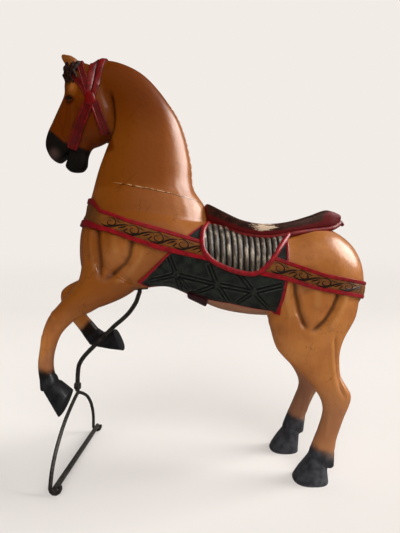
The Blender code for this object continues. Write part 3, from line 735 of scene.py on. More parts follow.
@dataclass(frozen=True)
class HidePaint(Finish):
    """Carved lime wood painted chestnut, a brown glaze wiped into its hollows, under an aged oil varnish.

    The eye sees warm orange-brown with darker hollows, faint grain, cloudy patches and a clear sheen on top.
    Painted shade darkens the head, the neck and the chest and deepens the hollows; painted highlights lighten
    the ridges and a line along the neck joint; the far hind leg is painted paler against the shade that the
    near leg casts.
    """

    name: str = "varnished_chestnut_paint"
    light: str = "b87538"
    middle: str = "a8652d"
    # deep and dark also paint the shade of the forehand, the neck and the head.
    deep: str = "82440b"
    dark: str = "5e2700"
    # glaze is the brown glaze in the hollows and the varnish cracks, and also the painted shade in the
    # hollows.
    glaze_and_shade: str = "371502"
    # crest paints the ridges lighter: rubbed paint and a painted highlight.
    crest: str = "c48c4c"
    # thin is the paler thin paint, and the painted light on the far hind leg.
    thin: str = "8f6650"
    soot: str = "14110e"
    dust: str = "303136"
    lip: str = "4a3733"
    open_joint: str = "241004"
    # A painted highlight along the upper edge of the opened neck joint.
    joint_highlight: str = "dfae78"

    def surface(self, add: Adder, place: Socket) -> Inputs:
        """Work out the paint; see Finish for the arguments and what is returned."""
        cloud, patch = marks(add, place, 110, 3), marks(add, place, 38, 5)
        grain, speck = marks(add, place, 5, 5, (1.0, 1.0, 0.12)), marks(add, place, 2.2, 3)
        names = ("shade", "hollow", "ridge", "belly", "soot", "lip")
        shade, hollow, ridge, belly, soot, lip = (add(Node.LAYER, attribute_name=name) for name in names)
        sooty = add(Node.SUM, soot, add(Node.RANGE, patch, 0.3, 0.7, -0.10, 0.10))
        black = wash(add, self.dust, (add(Node.HEIGHT, place), 0.2, 0.3, 1.0, self.soot))
        colour = wash(
            add, self.middle,
            (cloud, 0.36, 0.64, 1.0, self.light),
            (patch, 0.50, 0.74, 0.26, self.dark),
            (grain, 0.50, 0.72, 0.14, self.dark),
            # painted shade: the browned varnish and the shade of the forehand, the neck and the head
            (shade, 0.0, 0.7, 1.0, self.deep),
            (shade, 0.7, 1.0, 1.0, self.dark),
            # dark glaze and painted shade in the hollows
            (hollow, 0.05, 1.3, 0.95, self.glaze_and_shade),
            # painted highlight on the ridges, partly rubbed paint
            (ridge, 0.1, 1.0, 0.30, self.crest),
            # thin, paler paint; painted light on the far hind leg
            (belly, 0.0, 1.0, 0.8, self.thin),
            (sooty, 0.10, 0.90, 1.0, black),
        )
        # the open glue joint, with a painted highlight along its upper edge
        crack, beside = self.joint_crack(add, place)
        for share, paint in ((lip, self.lip), (self.age_cracks(add, place, cloud), self.glaze_and_shade),
                             (crack, self.open_joint), (beside, self.joint_highlight)):
            colour = add(Node.BLEND, share, colour, paint)
        duller = add(Node.SUM, add(Node.RANGE, patch, 0.3, 0.7, 0.30, 0.44),
                     add(Node.RANGE, shade, 0.6, 1.0, 0.0, 0.08))
        return {
            "Base Color": colour,
            "Roughness": add(Node.SUM, duller, add(Node.RANGE, hollow, 0.1, 0.8, 0.0, 0.25)),
            "IOR": 1.45,
            "Specular IOR Level": add(Node.RANGE, shade, 0.55, 0.9, 0.35, 0.10),
            "Coat Weight": add(Node.PRODUCT, add(Node.RANGE, shade, 0.6, 1.0, 0.4, 0.06),
                               add(Node.RANGE, hollow, 0.1, 0.6, 1.0, 0.2)),
            "Coat Roughness": 0.20,
            "Coat IOR": 1.5,
            "Normal": bumps(add, (marks(add, place, 14, 1), 4.0, 0.2), (patch, 1.6, 0.22), (grain, 0.5, 0.15),
                            (speck, 0.25, 0.15)),
        }

    def age_cracks(self, add: Adder, place: Socket, mask: Socket) -> Socket:
        """Return a few hairline cracks in the varnish, only where the mask is high.

        Args:
            add: Adds a node to the material.
            place: The coordinates.
            mask: Where the varnish has cracked.

        Returns:
            The share of crack.
        """
        bend = add(Node.RANGE, marks(add, place, 24, 4), 0.3, 0.7, -12 * MM, 12 * MM)
        cells = add(Node.CELLS, add(Node.MOVED, place, bend), 1 / (85 * MM))
        line = add(Node.RANGE, cells, 0.003, 0.010, 1.0, 0.0)
        return add(Node.PRODUCT, line, add(Node.RANGE, mask, 0.48, 0.56, 0.0, 0.55))

    def joint_crack(self, add: Adder, place: Socket) -> tuple[Socket, Socket]:
        """Draw the glue line that has opened across the foot of the neck.

        Args:
            add: Adds a node to the material.
            place: The coordinates.

        Returns:
            The share of open joint, and of the painted highlight just above it.
        """
        first, last = Vector((-222, 0, 810)) * MM + SHIFT, Vector((-25, 0, 771)) * MM + SHIFT
        run = (last - first).normalized()
        off = Vector((-run.z, 0, run.x))
        wander = add(Node.RANGE, marks(add, place, 30, 3), 0.3, 0.7, -1.2 * MM, 1.2 * MM)
        level = add(Node.SUM, add(Node.REACH, place, off), wander)
        start = run.dot(first)
        inside = add(Node.RANGE, add(Node.REACH, place, run), start - 60 * MM, start + 20 * MM)
        lines = [
            add(Node.PRODUCT, add(Node.WITHIN, level, off.dot(first) + rise * MM, half * MM), inside)
            for rise, half in ((0.0, 1.1), (1.9, 1.0))
        ]
        # the painted highlight breaks up along its length
        highlight_breaks = add(Node.RANGE, marks(add, place, 16, 4), 0.44, 0.58)
        return lines[0], add(Node.PRODUCT, lines[1], highlight_breaks)


@dataclass(frozen=True)
class TackPaint(Finish):
    """Brushed oil paint on carved tack: a colour, a darker glaze with painted shade in its hollows, rubbed
    high spots and a painted highlight beside cuts.
    """

    name: str
    colour: str
    dark: str
    rubbed_and_highlight: str
    rough: float
    coat: float
    wear: float
    mark_size: float = 14.0

    def surface(self, add: Adder, place: Socket) -> Inputs:
        """Work out the paint; see Finish for the arguments. The layer of glaze and painted shade is below 0
        beside a cut, where a painted highlight lies.
        """
        patch = marks(add, place, self.mark_size, 5)
        brush = marks(add, place, 3.0, 4, (0.35, 1.0, 1.0))
        hollow = add(Node.LAYER, attribute_name="hollow")
        colour = wash(add, self.colour, (patch, 0.35, 0.70, 0.75, self.dark),
                      (brush, 0.60, 0.78, self.wear, self.rubbed_and_highlight))
        # painted highlight beside each cut
        beside = add(Node.PRODUCT, add(Node.RANGE, hollow, -0.2, -1.0, 0.0, 0.75),
                     add(Node.RANGE, patch, 0.46, 0.62))
        colour = add(Node.BLEND, beside, colour, self.rubbed_and_highlight)
        return {
            # dark glaze and painted shade in the hollows
            "Base Color": wash(add, colour, (hollow, 0.0, 1.0, 1.0, self.dark)),
            "Roughness": add(Node.RANGE, patch, 0.3, 0.7, self.rough, self.rough + 0.16),
            "IOR": 1.45,
            "Specular IOR Level": 0.3,
            "Coat Weight": self.coat,
            "Coat Roughness": 0.2,
            "Normal": bumps(add, (patch, 0.8, 0.4), (brush, 0.3, 0.3)),
        }


@dataclass(frozen=True)
class WornSeat(Finish):
    """Brown-black saddle paint over a red ground coat, rubbed through to bare wood where riders sat."""

    name: str = "worn_saddle_paint"
    black: str = "281914"
    brown: str = "3c241b"
    ground: str = "6d2a26"
    wood: str = "d6bda2"
    red: str = "5c1517"

    def surface(self, add: Adder, place: Socket) -> Inputs:
        """Work out the paint; see Finish for the arguments and what is returned."""
        patch, fine = marks(add, place, 26, 6), marks(add, place, 6, 6, (0.5, 1.0, 1.0))
        scratch = add(Node.RANGE, marks(add, place, 3.5, 5, (0.22, 1.0, 1.0)), 0.35, 0.65, -0.40, 0.22)
        worn = add(Node.SUM, add(Node.LAYER, attribute_name="worn"), scratch)
        red = add(Node.LAYER, attribute_name="red")
        return {
            "Base Color": wash(add, self.black, (patch, 0.35, 0.65, 1.0, self.brown),
                               (fine, 0.56, 0.68, 0.65, self.ground), (worn, 0.34, 0.58, 1.0, self.wood),
                               (red, 0.3, 0.8, 1.0, self.red)),
            "Roughness": add(Node.RANGE, worn, 0.4, 0.7, 0.50, 0.70),
            "Specular IOR Level": 0.08,
            "Normal": bumps(add, (patch, 1.2, 0.35), (fine, 0.5, 0.35)),
        }


@dataclass(frozen=True)
class SilverLeaf(Finish):
    """Aluminium-leaf flutes dulled by a brown-black wash, bright only on their crests; the bright crests are
    partly a painted highlight and the dark valleys partly painted shade.
    """

    name: str = "tarnished_silver_leaf"

    def surface(self, add: Adder, place: Socket) -> Inputs:
        """Work out the leaf; see Finish for the arguments and what is returned."""
        patch, rub = marks(add, place, 9, 6), marks(add, place, 18, 4, (1, 1, 0.4))
        crest = add(Node.SUM, add(Node.LAYER, attribute_name="crest"),
                    add(Node.RANGE, rub, 0.3, 0.7, -0.20, 0.08))
        return {
            # Lighter crests and darker valleys: the leaf and its wash, partly a painted highlight and painted
            # shade.
            "Base Color": wash(add, "1a1510", (crest, 0.55, 0.98, 1.0, "54483c"),
                               (crest, 0.88, 1.08, 1.0, "a99d88"), (patch, 0.52, 0.70, 0.7, "40352b")),
            "Metallic": 0.35,
            "Roughness": add(Node.RANGE, patch, 0.3, 0.7, 0.34, 0.55),
            "Normal": bumps(add, (patch, 0.6, 0.4)),
        }


@dataclass(frozen=True)
class HoofPaint(Finish):
    """Black-grey hoof paint, dry brushed with dust grey down the hoof wall."""

    name: str
    low: str
    high: str

    def surface(self, add: Adder, place: Socket) -> Inputs:
        """Work out the paint; see Finish for the arguments and what is returned."""
        patch, dust = marks(add, place, 20, 5), marks(add, place, 7, 5)
        bare = add(Node.LAYER, attribute_name="bare")
        return {
            "Base Color": wash(add, self.low, (patch, 0.35, 0.65, 1.0, self.high),
                               (dust, 0.56, 0.75, 0.28, "4c4c4e"), (bare, 0.10, 0.90, 1.0, "9c6a40")),
            "Roughness": add(Node.RANGE, patch, 0.3, 0.7, 0.50, 0.66),
            "Specular IOR Level": 0.3,
            "Coat Weight": 0.08,
            "Normal": bumps(add, (patch, 0.9, 0.4), (dust, 0.4, 0.3)),
        }


@dataclass(frozen=True)
class ForgedIron(Finish):
    """Wrought iron, forged and left with its black scale, rubbed grey on the high spots."""

    name: str = "black_wrought_iron"

    def surface(self, add: Adder, place: Socket) -> Inputs:
        """Work out the iron; see Finish for the arguments and what is returned."""
        scale, hammer = marks(add, place, 6, 5), marks(add, place, 22, 3)
        return {
            "Base Color": wash(add, "2b2825", (scale, 0.35, 0.70, 1.0, "514c47")),
            "Metallic": 0.55,
            "Roughness": add(Node.RANGE, scale, 0.3, 0.7, 0.48, 0.68),
            "Normal": bumps(add, (hammer, 1.0, 0.4), (scale, 0.3, 0.4)),
        }


@dataclass(frozen=True)
class Glass(Finish):
    """A brown glass eye under varnish: nearly black, with one clear glint."""

    name: str = "dark_glass_eye"

    def surface(self, add: Adder, place: Socket) -> Inputs:
        """Work out the eye; see Finish for the arguments and what is returned."""
        return {
            "Base Color": wash(add, "0b0605", (marks(add, place, 4, 2), 0.4, 0.6, 1.0, "1d0f08")),
            "Roughness": 0.22,
            "Coat Weight": 0.2,
        }


@dataclass(frozen=True)
class BackdropPaper(Finish):
    """Matt backdrop paper, lit a little from within so that it stays even to the eye."""

    name: str = "backdrop_paper"
    floor: str = "c2bfbc"
    glow: str = "f2ece7"

    def surface(self, add: Adder, place: Socket) -> Inputs:
        """Work out the paper; see Finish for the arguments and what is returned."""
        height = add(Node.HEIGHT, place)
        return {
            "Base Color": wash(add, self.floor, (height, 0.0, 0.9, 1.0, "000000")),
            "Roughness": 0.9,
            "Specular IOR Level": 0.0,
            "Emission Color": self.glow,
            "Emission Strength": add(Node.RANGE, height, 0.0, 0.9, 0.33, 1.0),
        }


HIDE = HidePaint()
# Each tack paint's colour, its glaze and painted shade colour and its rubbed and painted highlight colour,
# then its roughness, varnish and wear.
# Carmine tack paint; the eye sees a deep red, brighter on raised edges.
BAND_RED = TackPaint("carmine_band_paint", "93101a", "620810", "b02a2e", 0.30, 0.3, 0.2)
STRAP_RED = TackPaint("dark_red_strap_paint", "760c07", "3c0403", "862014", 0.42, 0.12, 0.2)
ROSETTE_RED = TackPaint("bright_red_rosette_paint", "760202", "560101", "8c0c0a", 0.3, 0.15, 0.2)
# Earth colours under the scroll and in it, which read as old gilding gone brown.
BAND_GROUND = TackPaint("ochre_band_ground", "7c4818", "55300f", "a36c30", 0.42, 0.2, 0.35)
SCROLL_DARK = TackPaint("burnt_scroll_paint", "241309", "160b05", "4b2c16", 0.45, 0.1, 0.15)
GIRTH_PAINT = TackPaint("dark_maroon_girth_paint", "3d1418", "1c0d0e", "6b3a38", 0.4, 0.25, 0.3)
# Nearly black paints: a wet-looking green-black on the blanket, a dull brown one on the hair.
BLANKET_PAINT = TackPaint("green_black_blanket_paint", "282c27", "080907", "51564f", 0.26, 0.55, 0.4, 24)
FORELOCK_PAINT = TackPaint("dark_brown_hair_paint", "2c160d", "150906", "45271a", 0.68, 0.0, 0.2, 8)
# The hind hooves are painted a lighter grey than the fore hooves.
HIND_HOOF = HoofPaint("lighter_grey_hoof_paint", "2a2a2e", "424348")
FORE_HOOF = HoofPaint("black_hoof_paint", "151517", "242426")


# --- the figure ---------------------------------------------------------------------------------------
def swell(distance: Array, half: float) -> Array:
    """Return one in the middle of a stroke, falling smoothly to nothing at its edge."""
    return np.where(distance < half, 0.5 + 0.5 * np.cos(np.pi * np.minimum(distance, half) / half), 0.0)


def blot(x: Array, z: Array, spot: Row) -> Array:
    """Return one in the middle of an oval (x, z, half length, half height), falling off to its edge."""
    return swell(np.hypot((x - spot[0]) / spot[2], (z - spot[1]) / spot[3]), 1.0)


def step(value: Array | float, low: float, high: float) -> Array | float:
    """Ease from nothing to one.

    Args:
        value: What is measured.
        low: Where it is nothing.
        high: Where it is one; this may be the lower of the two.

    Returns:
        The share, from 0 to 1.
    """
    t = np.clip((value - low) / (high - low), 0, 1)
    return t * t * (3 - 2 * t)


def to_stroke(x: Array, z: Array, line: Line) -> tuple[Array, Array]:
    """Measure side points against a broken line.

    Args:
        x: Their places along the horse.
        z: Their heights.
        line: The line's points (x, z).

    Returns:
        Their distance from the line, and their share of the way along it.
    """
    total = sum(math.dist(a, b) for a, b in zip(line, line[1:]))
    nearest, share, before = np.full(x.shape, np.inf), np.zeros(x.shape), 0.0
    for (x0, z0), (x1, z1) in zip(line, line[1:]):
        dx, dz = x1 - x0, z1 - z0
        length = math.hypot(dx, dz)
        t = np.clip(((x - x0) * dx + (z - z0) * dz) / length**2, 0, 1)
        away = np.hypot(x - x0 - dx * t, z - z0 - dz * t)
        share = np.where(away < nearest, (before + t * length) / total, share)
        nearest = np.minimum(nearest, away)
        before += length
    return nearest, share


def browning_and_painted_shade(x: Array, z: Array) -> Array:
    """Work out how deep the varnish has browned, with the painted shade that lies over it: most on the head,
    the neck and the chest.

    Args:
        x: The points' places along the horse, in millimetres.
        z: Their heights.

    Returns:
        The depth, from 0 to 1.
    """
    # Painted shade: the forehand is painted ever darker from the loin to the chest, away from the light.
    barrel = 0.54 * step(x, 170, -270)  # ever deeper from the loin to the chest
    withers = 0.12 * step(z, 600, 700) * step(x, 40, -40)
    above_legs = step(z, 380, 480)
    forehand = (barrel + withers) * above_legs * (1 - 0.6 * blot(x, z, CHEST))
    crest = 0.80 + 0.12 * step(z, 940, 1080)
    # Painted shade on the neck, lifting towards its tail side, where the light falls.
    neck = crest * step(z, 735, 820) * step(x, -22, -128)
    poll = 1 - 0.18 * step(z, 1040, 1110)
    head = poll * step(x + 0.35 * (z - 1000), -240, -300) * step(z, 870, 930)
    return np.max([forehand, neck, head], axis=0) * (1 - 0.75 * blot(x, z, BROW))


def soot(x: Array, y: Array, z: Array) -> Array:
    """Work out where the wood is painted black: on the muzzle and the lower legs, the far ones higher.

    Args:
        x: The points' places along the horse, in millimetres.
        y: Their places across it.
        z: Their heights.

    Returns:
        How black they are; above 1 where two such places overlap.
    """
    far = y > 0
    # On the hind legs the edge slants, higher in front, and lies further up and forward on the far one.
    slant = 0.35 * (x - 320 + 30 * far)
    hind_legs = step(z - 24 * far + slant, 108, 62) * (x > 150)
    near_fore = step(z, 318, 276) * ((x < -380) & ~far)
    far_fore = step(x - z, -800, -752) * (far & (z < 420) & (x < -250))
    muzzle = step(z - height_at(MUZZLE_LINE, x), 14, -8) * ((z > 840) & (x < -330))
    return hind_legs + near_fore + far_fore + muzzle


def thin_paint_and_painted_light(x: Array, y: Array, z: Array, downward: Array) -> Array:
    """Work out where the paint is thin and paler: under the belly and down the legs, and where the far hind
    leg is painted paler against the shade that the near leg casts on it.

    Args:
        x: The points' places along the horse, in millimetres.
        y: Their places across it.
        z: Their heights.
        downward: How far the surface faces down there, from -1 to 1.

    Returns:
        How thin it is, from 0 to 1.
    """
    under = step(downward, 0.45, 0.9) * step(x, -160, -60) * step(x, 260, 200) * (z > 420)
    # Painted light: the far hind leg is painted paler, against the shade that the near leg casts on it.
    hind_legs = np.where(y > 0, 1.0, 0.55) * step(z, 330, 170) * (x > 150)
    forelegs = 0.45 * step(z, 500, 400) * step(x - z, -800, -760) * (x < -250)
    return np.max([under, hind_legs, forelegs], axis=0)


@dataclass
class Figure:
    """The horse's carved body: trunk, neck, head and legs blended and then cut with muscle hollows."""

    voxel: float = 0.0046
    soften: float = 0.5
    passes: int = 15
    easing: int = 30
    mouth_half: float = 60.0
    stroke_ends: tuple[Row, Row] = ((0.0, 0.15), (1.0, 0.82))
    # The hollows' glaze and painted shade: its share of the stroke's width, the cut at which it is full and
    # its darkest; the ridges' painted highlight: its share of the width and the rise at which it is full.
    glaze_and_shade_share: float = 0.75
    cut_of_full_glaze_and_shade: float = 9.5
    ridge_share: float = 0.8
    full_ridge: float = 3.5
    darkest_glaze_and_shade: float = 1.3
    skin: BVHTree | None = None

    def build(self) -> None:
        """Model, carve and dress the body."""
        mesh = self.blended()
        points = [v.co.copy() for v in mesh.vertices]
        self.skin = BVHTree.FromPolygons(points, [tuple(p.vertices) for p in mesh.polygons])
        self.carve(mesh)
        mesh.transform(Matrix.Translation(SHIFT))
        dress(mesh, HIDE, crease=60)

    def blended(self) -> Mesh:
        """Grow the limbs together into one soft form and open the mouth.

        Returns:
            The form.
        """
        bm = bmesh.new()
        for rows, sides, power in ((TRUNK, 36, 2.2), (NECK, 32, 2.2), (HEAD, 28, 2.5), (JAW, 20, 2.5),
                                   (NEAR_FORELEG, 24, 2.2), (FAR_FORELEG, 24, 2.2)):
            loft(bm, rows, sides, power)
        loft(bm, HIND_LEG, mirror=True)
        loft(bm, self.lagging(HIND_LEG))
        bmesh.ops.recalc_face_normals(bm, faces=bm.faces)
        limbs = set_down("limbs", mesh_of("limbs", bm))
        remesh = limbs.modifiers.new("blend", "REMESH")
        remesh.mode, remesh.voxel_size = "VOXEL", self.voxel
        soften = limbs.modifiers.new("soften", "SMOOTH")
        soften.factor, soften.iterations = self.soften, self.passes
        cutter = self.mouth_cutter()
        mouth = limbs.modifiers.new("mouth", "BOOLEAN")
        mouth.operation, mouth.solver, mouth.object = "DIFFERENCE", "EXACT", cutter
        done = bpy.data.meshes.new_from_object(limbs.evaluated_get(bpy.context.evaluated_depsgraph_get()))
        bpy.data.objects.remove(limbs)
        bpy.data.objects.remove(cutter)
        done.name = "carved_body"
        self.ease(done)
        return done

    def ease(self, mesh: Mesh) -> None:
        """Clear what the blend left loose, and soften the crease where the near foreleg joins the chest.

        Args:
            mesh: The blended form, which is changed.
        """
        bm = bmesh.new()
        bm.from_mesh(mesh)
        body = grow([max(bm.verts, key=lambda v: v.co.z)])
        bmesh.ops.delete(bm, geom=[v for v in bm.verts if v not in body], context="VERTS")
        x, y, z = (np.array([v.co for v in bm.verts]) / MM).T
        near_side = y < -20
        crease = (to_stroke(x, z, ELBOW_CREASE)[0] < ELBOW_REACH) & near_side
        chosen = [v for v, inside in zip(bm.verts, crease) if inside]
        for _ in range(self.easing):
            bmesh.ops.smooth_vert(bm, verts=chosen, factor=self.soften, use_axis_x=True, use_axis_y=True,
                                  use_axis_z=True)
        bm.to_mesh(mesh)
        bm.free()

    def mouth_cutter(self) -> bpy.types.Object:
        """Make the wedge that opens the mouth, wider than the head.

        Returns:
            The wedge.
        """
        bm = bmesh.new()
        ends = (-self.mouth_half, self.mouth_half)
        sweep(bm, [[Vector((x, y, z)) * MM for x, z in MOUTH] for y in ends])
        bmesh.ops.recalc_face_normals(bm, faces=bm.faces)
        return set_down("mouth_cutter", mesh_of("mouth_cutter", bm))

    def lagging(self, rows: Table) -> Table:
        """Move the near hind leg's stations along by how far the far one lags at each height.

        Args:
            rows: The near leg's stations.

        Returns:
            The far leg's stations.
        """
        out = []
        for x0, z0, x1, z1, width, y in rows:
            reach = float(height_at(FAR_HIND_LAG[::-1], (z0 + z1) / 2))
            out.append((x0 + reach, z0, x1 + reach, z1, width, y))
        return out

    def carve(self, mesh: Mesh) -> None:
        """Cut the hollows, and mark where the glaze and painted shade, the painted highlights on the ridges,
        the paints, and the browned varnish with its painted shade lie.

        Args:
            mesh: The blended form, which is changed.
        """
        count = len(mesh.vertices)
        flat = np.zeros((2, count * 3), np.float32)
        mesh.vertices.foreach_get("co", flat[0])
        mesh.vertex_normals.foreach_get("vector", flat[1])
        places, normals = flat.reshape(2, -1, 3).astype(float)
        x, y, z = (places / MM).T
        side = np.abs(normals[:, 1]) ** 0.4  # strokes lie on the sides and fade where the wood turns away
        start, end = self.stroke_ends
        depth, hollow, ridge = np.zeros(count), np.zeros(count), np.zeros(count)
        for half, cut, line in STROKES:
            away, share = to_stroke(x, z, line)
            fade = step(share, *start) * step(share, *end) * side
            deep = cut * swell(away, half) * fade
            depth = np.where(np.abs(deep) > np.abs(depth), -deep, depth)
            if cut > 0:
                # dark glaze and painted shade along the hollow
                glaze_and_shade = swell(away, self.glaze_and_shade_share * half) * fade
                hollow = np.maximum(hollow, glaze_and_shade * min(self.darkest_glaze_and_shade, cut / self.cut_of_full_glaze_and_shade))
            else:
                # painted highlight along the ridge, partly rubbed paint
                light = swell(away, self.ridge_share * half) * fade
                ridge = np.maximum(ridge, light * min(1.0, -cut / self.full_ridge))
        nx, nz, ny, radius, sink = NOSTRIL
        nose = swell(np.sqrt((x - nx) ** 2 + (np.abs(y) - ny) ** 2 + (z - nz) ** 2), radius)
        ex, ez, ey = EYE
        socket = np.sqrt((x - ex) ** 2 + (np.abs(y) - ey) ** 2 + (z - ez) ** 2)
        sunk, dark = (swell(np.abs(socket - ring), half) * side for ring, half in (SOCKET_RING, LID_RING))
        depth -= sink * nose + SOCKET_SINK * sunk
        # dark glaze and painted shade at the lids
        hollow = np.maximum(hollow, self.darkest_glaze_and_shade * dark)
        places += normals * (depth * MM)[:, None]
        mesh.vertices.foreach_set("co", places.astype(np.float32).ravel())
        shade = browning_and_painted_shade(x, z)
        # The shade layer holds the browned varnish and the painted shade.
        layers = {
            "hollow": hollow, "ridge": ridge * (1 - 0.75 * shade), "shade": shade,
            "soot": np.clip(soot(x, y, z) + nose, 0, 1), "belly": thin_paint_and_painted_light(x, y, z, -normals[:, 2]),
            "lip": 0.9 * blot(x, z, LIP_CORNER) * (z > 880),
        }
        for name, values in layers.items():
            target = mesh.attributes.new(name, "FLOAT", "POINT")
            target.data.foreach_set("value", values.astype(np.float32))
        mesh.update()


@dataclass
class Skin:
    """The carved surface as something to lay tack on; its sizes set how lines fan out from the trunk."""

    tree: BVHTree
    core: float = 590.0
    fan: float = 140.0
    deepest: float = 420.0
    tries: int = 5
    pull: float = 0.9

    def out(self, start: Vector, aim: Vector) -> Spot:
        """Return the spot where a line from inside leaves the wood.

        Args:
            start: A point inside, in metres.
            aim: The line's direction.

        Returns:
            The place and the outward unit normal.
        """
        aim = aim.normalized()
        place, normal, _, _ = self.tree.ray_cast(start, aim)
        if place is None:
            place, normal, _, _ = self.tree.find_nearest(start)
        return place, -normal if normal.dot(aim) < 0 else normal

    def flank(self, x: float, z: float, side: Side) -> Spot:
        """Return the spot on the trunk's side at a height, found by lines that fan out from its core.

        Args:
            x: Along the horse, in millimetres.
            z: The height to reach.
            side: Which side.

        Returns:
            The place and the outward unit normal.
        """
        aim = z
        start = Vector((x * MM, 0, self.core * MM))
        for _ in range(self.tries):
            spot = self.out(start, Vector((0, side.value * self.fan * MM, (aim - self.core) * MM)))
            aim = max(aim + self.pull * (z - spot[0].z / MM), self.core - self.deepest)
        return spot

    def beside(self, x: float, z: float, side: Side) -> Spot:
        """Return the spot straight out to one side of a point on the centre plane, in millimetres."""
        return self.out(Vector((x * MM, 0, z * MM)), Vector((0, side.value, 0)))


@dataclass
class Panel:
    """A carved layer of tack laid on the skin: a grid whose four sides follow outlines."""

    skin: Skin
    top: Table
    foot: Table
    front: Table
    rear: Table
    side: Side
    columns: int
    rows: int

    def outline(self, u: float, v: float) -> Row:
        """Find a point of the panel, seen from the side.

        Args:
            u: The share along the panel, from its front to its rear.
            v: The share down it.

        Returns:
            The point (x, z).
        """
        top, foot = along(self.top, u), along(self.foot, u)
        front, rear = along(self.front, v), along(self.rear, v)
        a, b, c, d = self.top[0], self.top[-1], self.foot[0], self.foot[-1]
        return tuple(
            (1 - v) * top[k] + v * foot[k] + (1 - u) * front[k] + u * rear[k]
            - ((1 - u) * (1 - v) * a[k] + u * (1 - v) * b[k] + (1 - u) * v * c[k] + u * v * d[k])
            for k in (0, 1)
        )

    def lay(self, bm: BMesh, rise: Field, wall: float, layers: dict[str, Field]) -> None:
        """Lay the panel.

        Args:
            bm: The mesh that gets it.
            rise: How far it stands off the skin in millimetres, from u, v, x and z.
            wall: Its thickness in metres.
            layers: Named values to write on its vertices, from u, v, x and z.
        """
        lookups = [bm.verts.layers.float.get(name) or bm.verts.layers.float.new(name) for name in layers]
        made = bmesh.ops.create_grid(bm, x_segments=self.columns, y_segments=self.rows, size=1)["verts"]
        u = np.array([(v.co.x + 1) / 2 for v in made])
        v = np.array([(1 - v.co.y) / 2 for v in made])
        x, z = np.array([self.outline(*pair) for pair in zip(u, v)]).T
        lifts = rise(u, v, x, z)
        values = [field(u, v, x, z) for field in layers.values()]
        for k, vert in enumerate(made):
            vert.co = raised(self.skin.flank(x[k], z[k], self.side), float(lifts[k]))
            for lookup, value in zip(lookups, values):
                vert[lookup] = float(value[k])
        faces = list({f for vert in made for f in vert.link_faces})
        bmesh.ops.recalc_face_normals(bm, faces=faces)
        if sum(f.normal.y for f in faces) * self.side.value < 0:
            bmesh.ops.reverse_faces(bm, faces=faces)
        bmesh.ops.solidify(bm, geom=faces, thickness=wall)


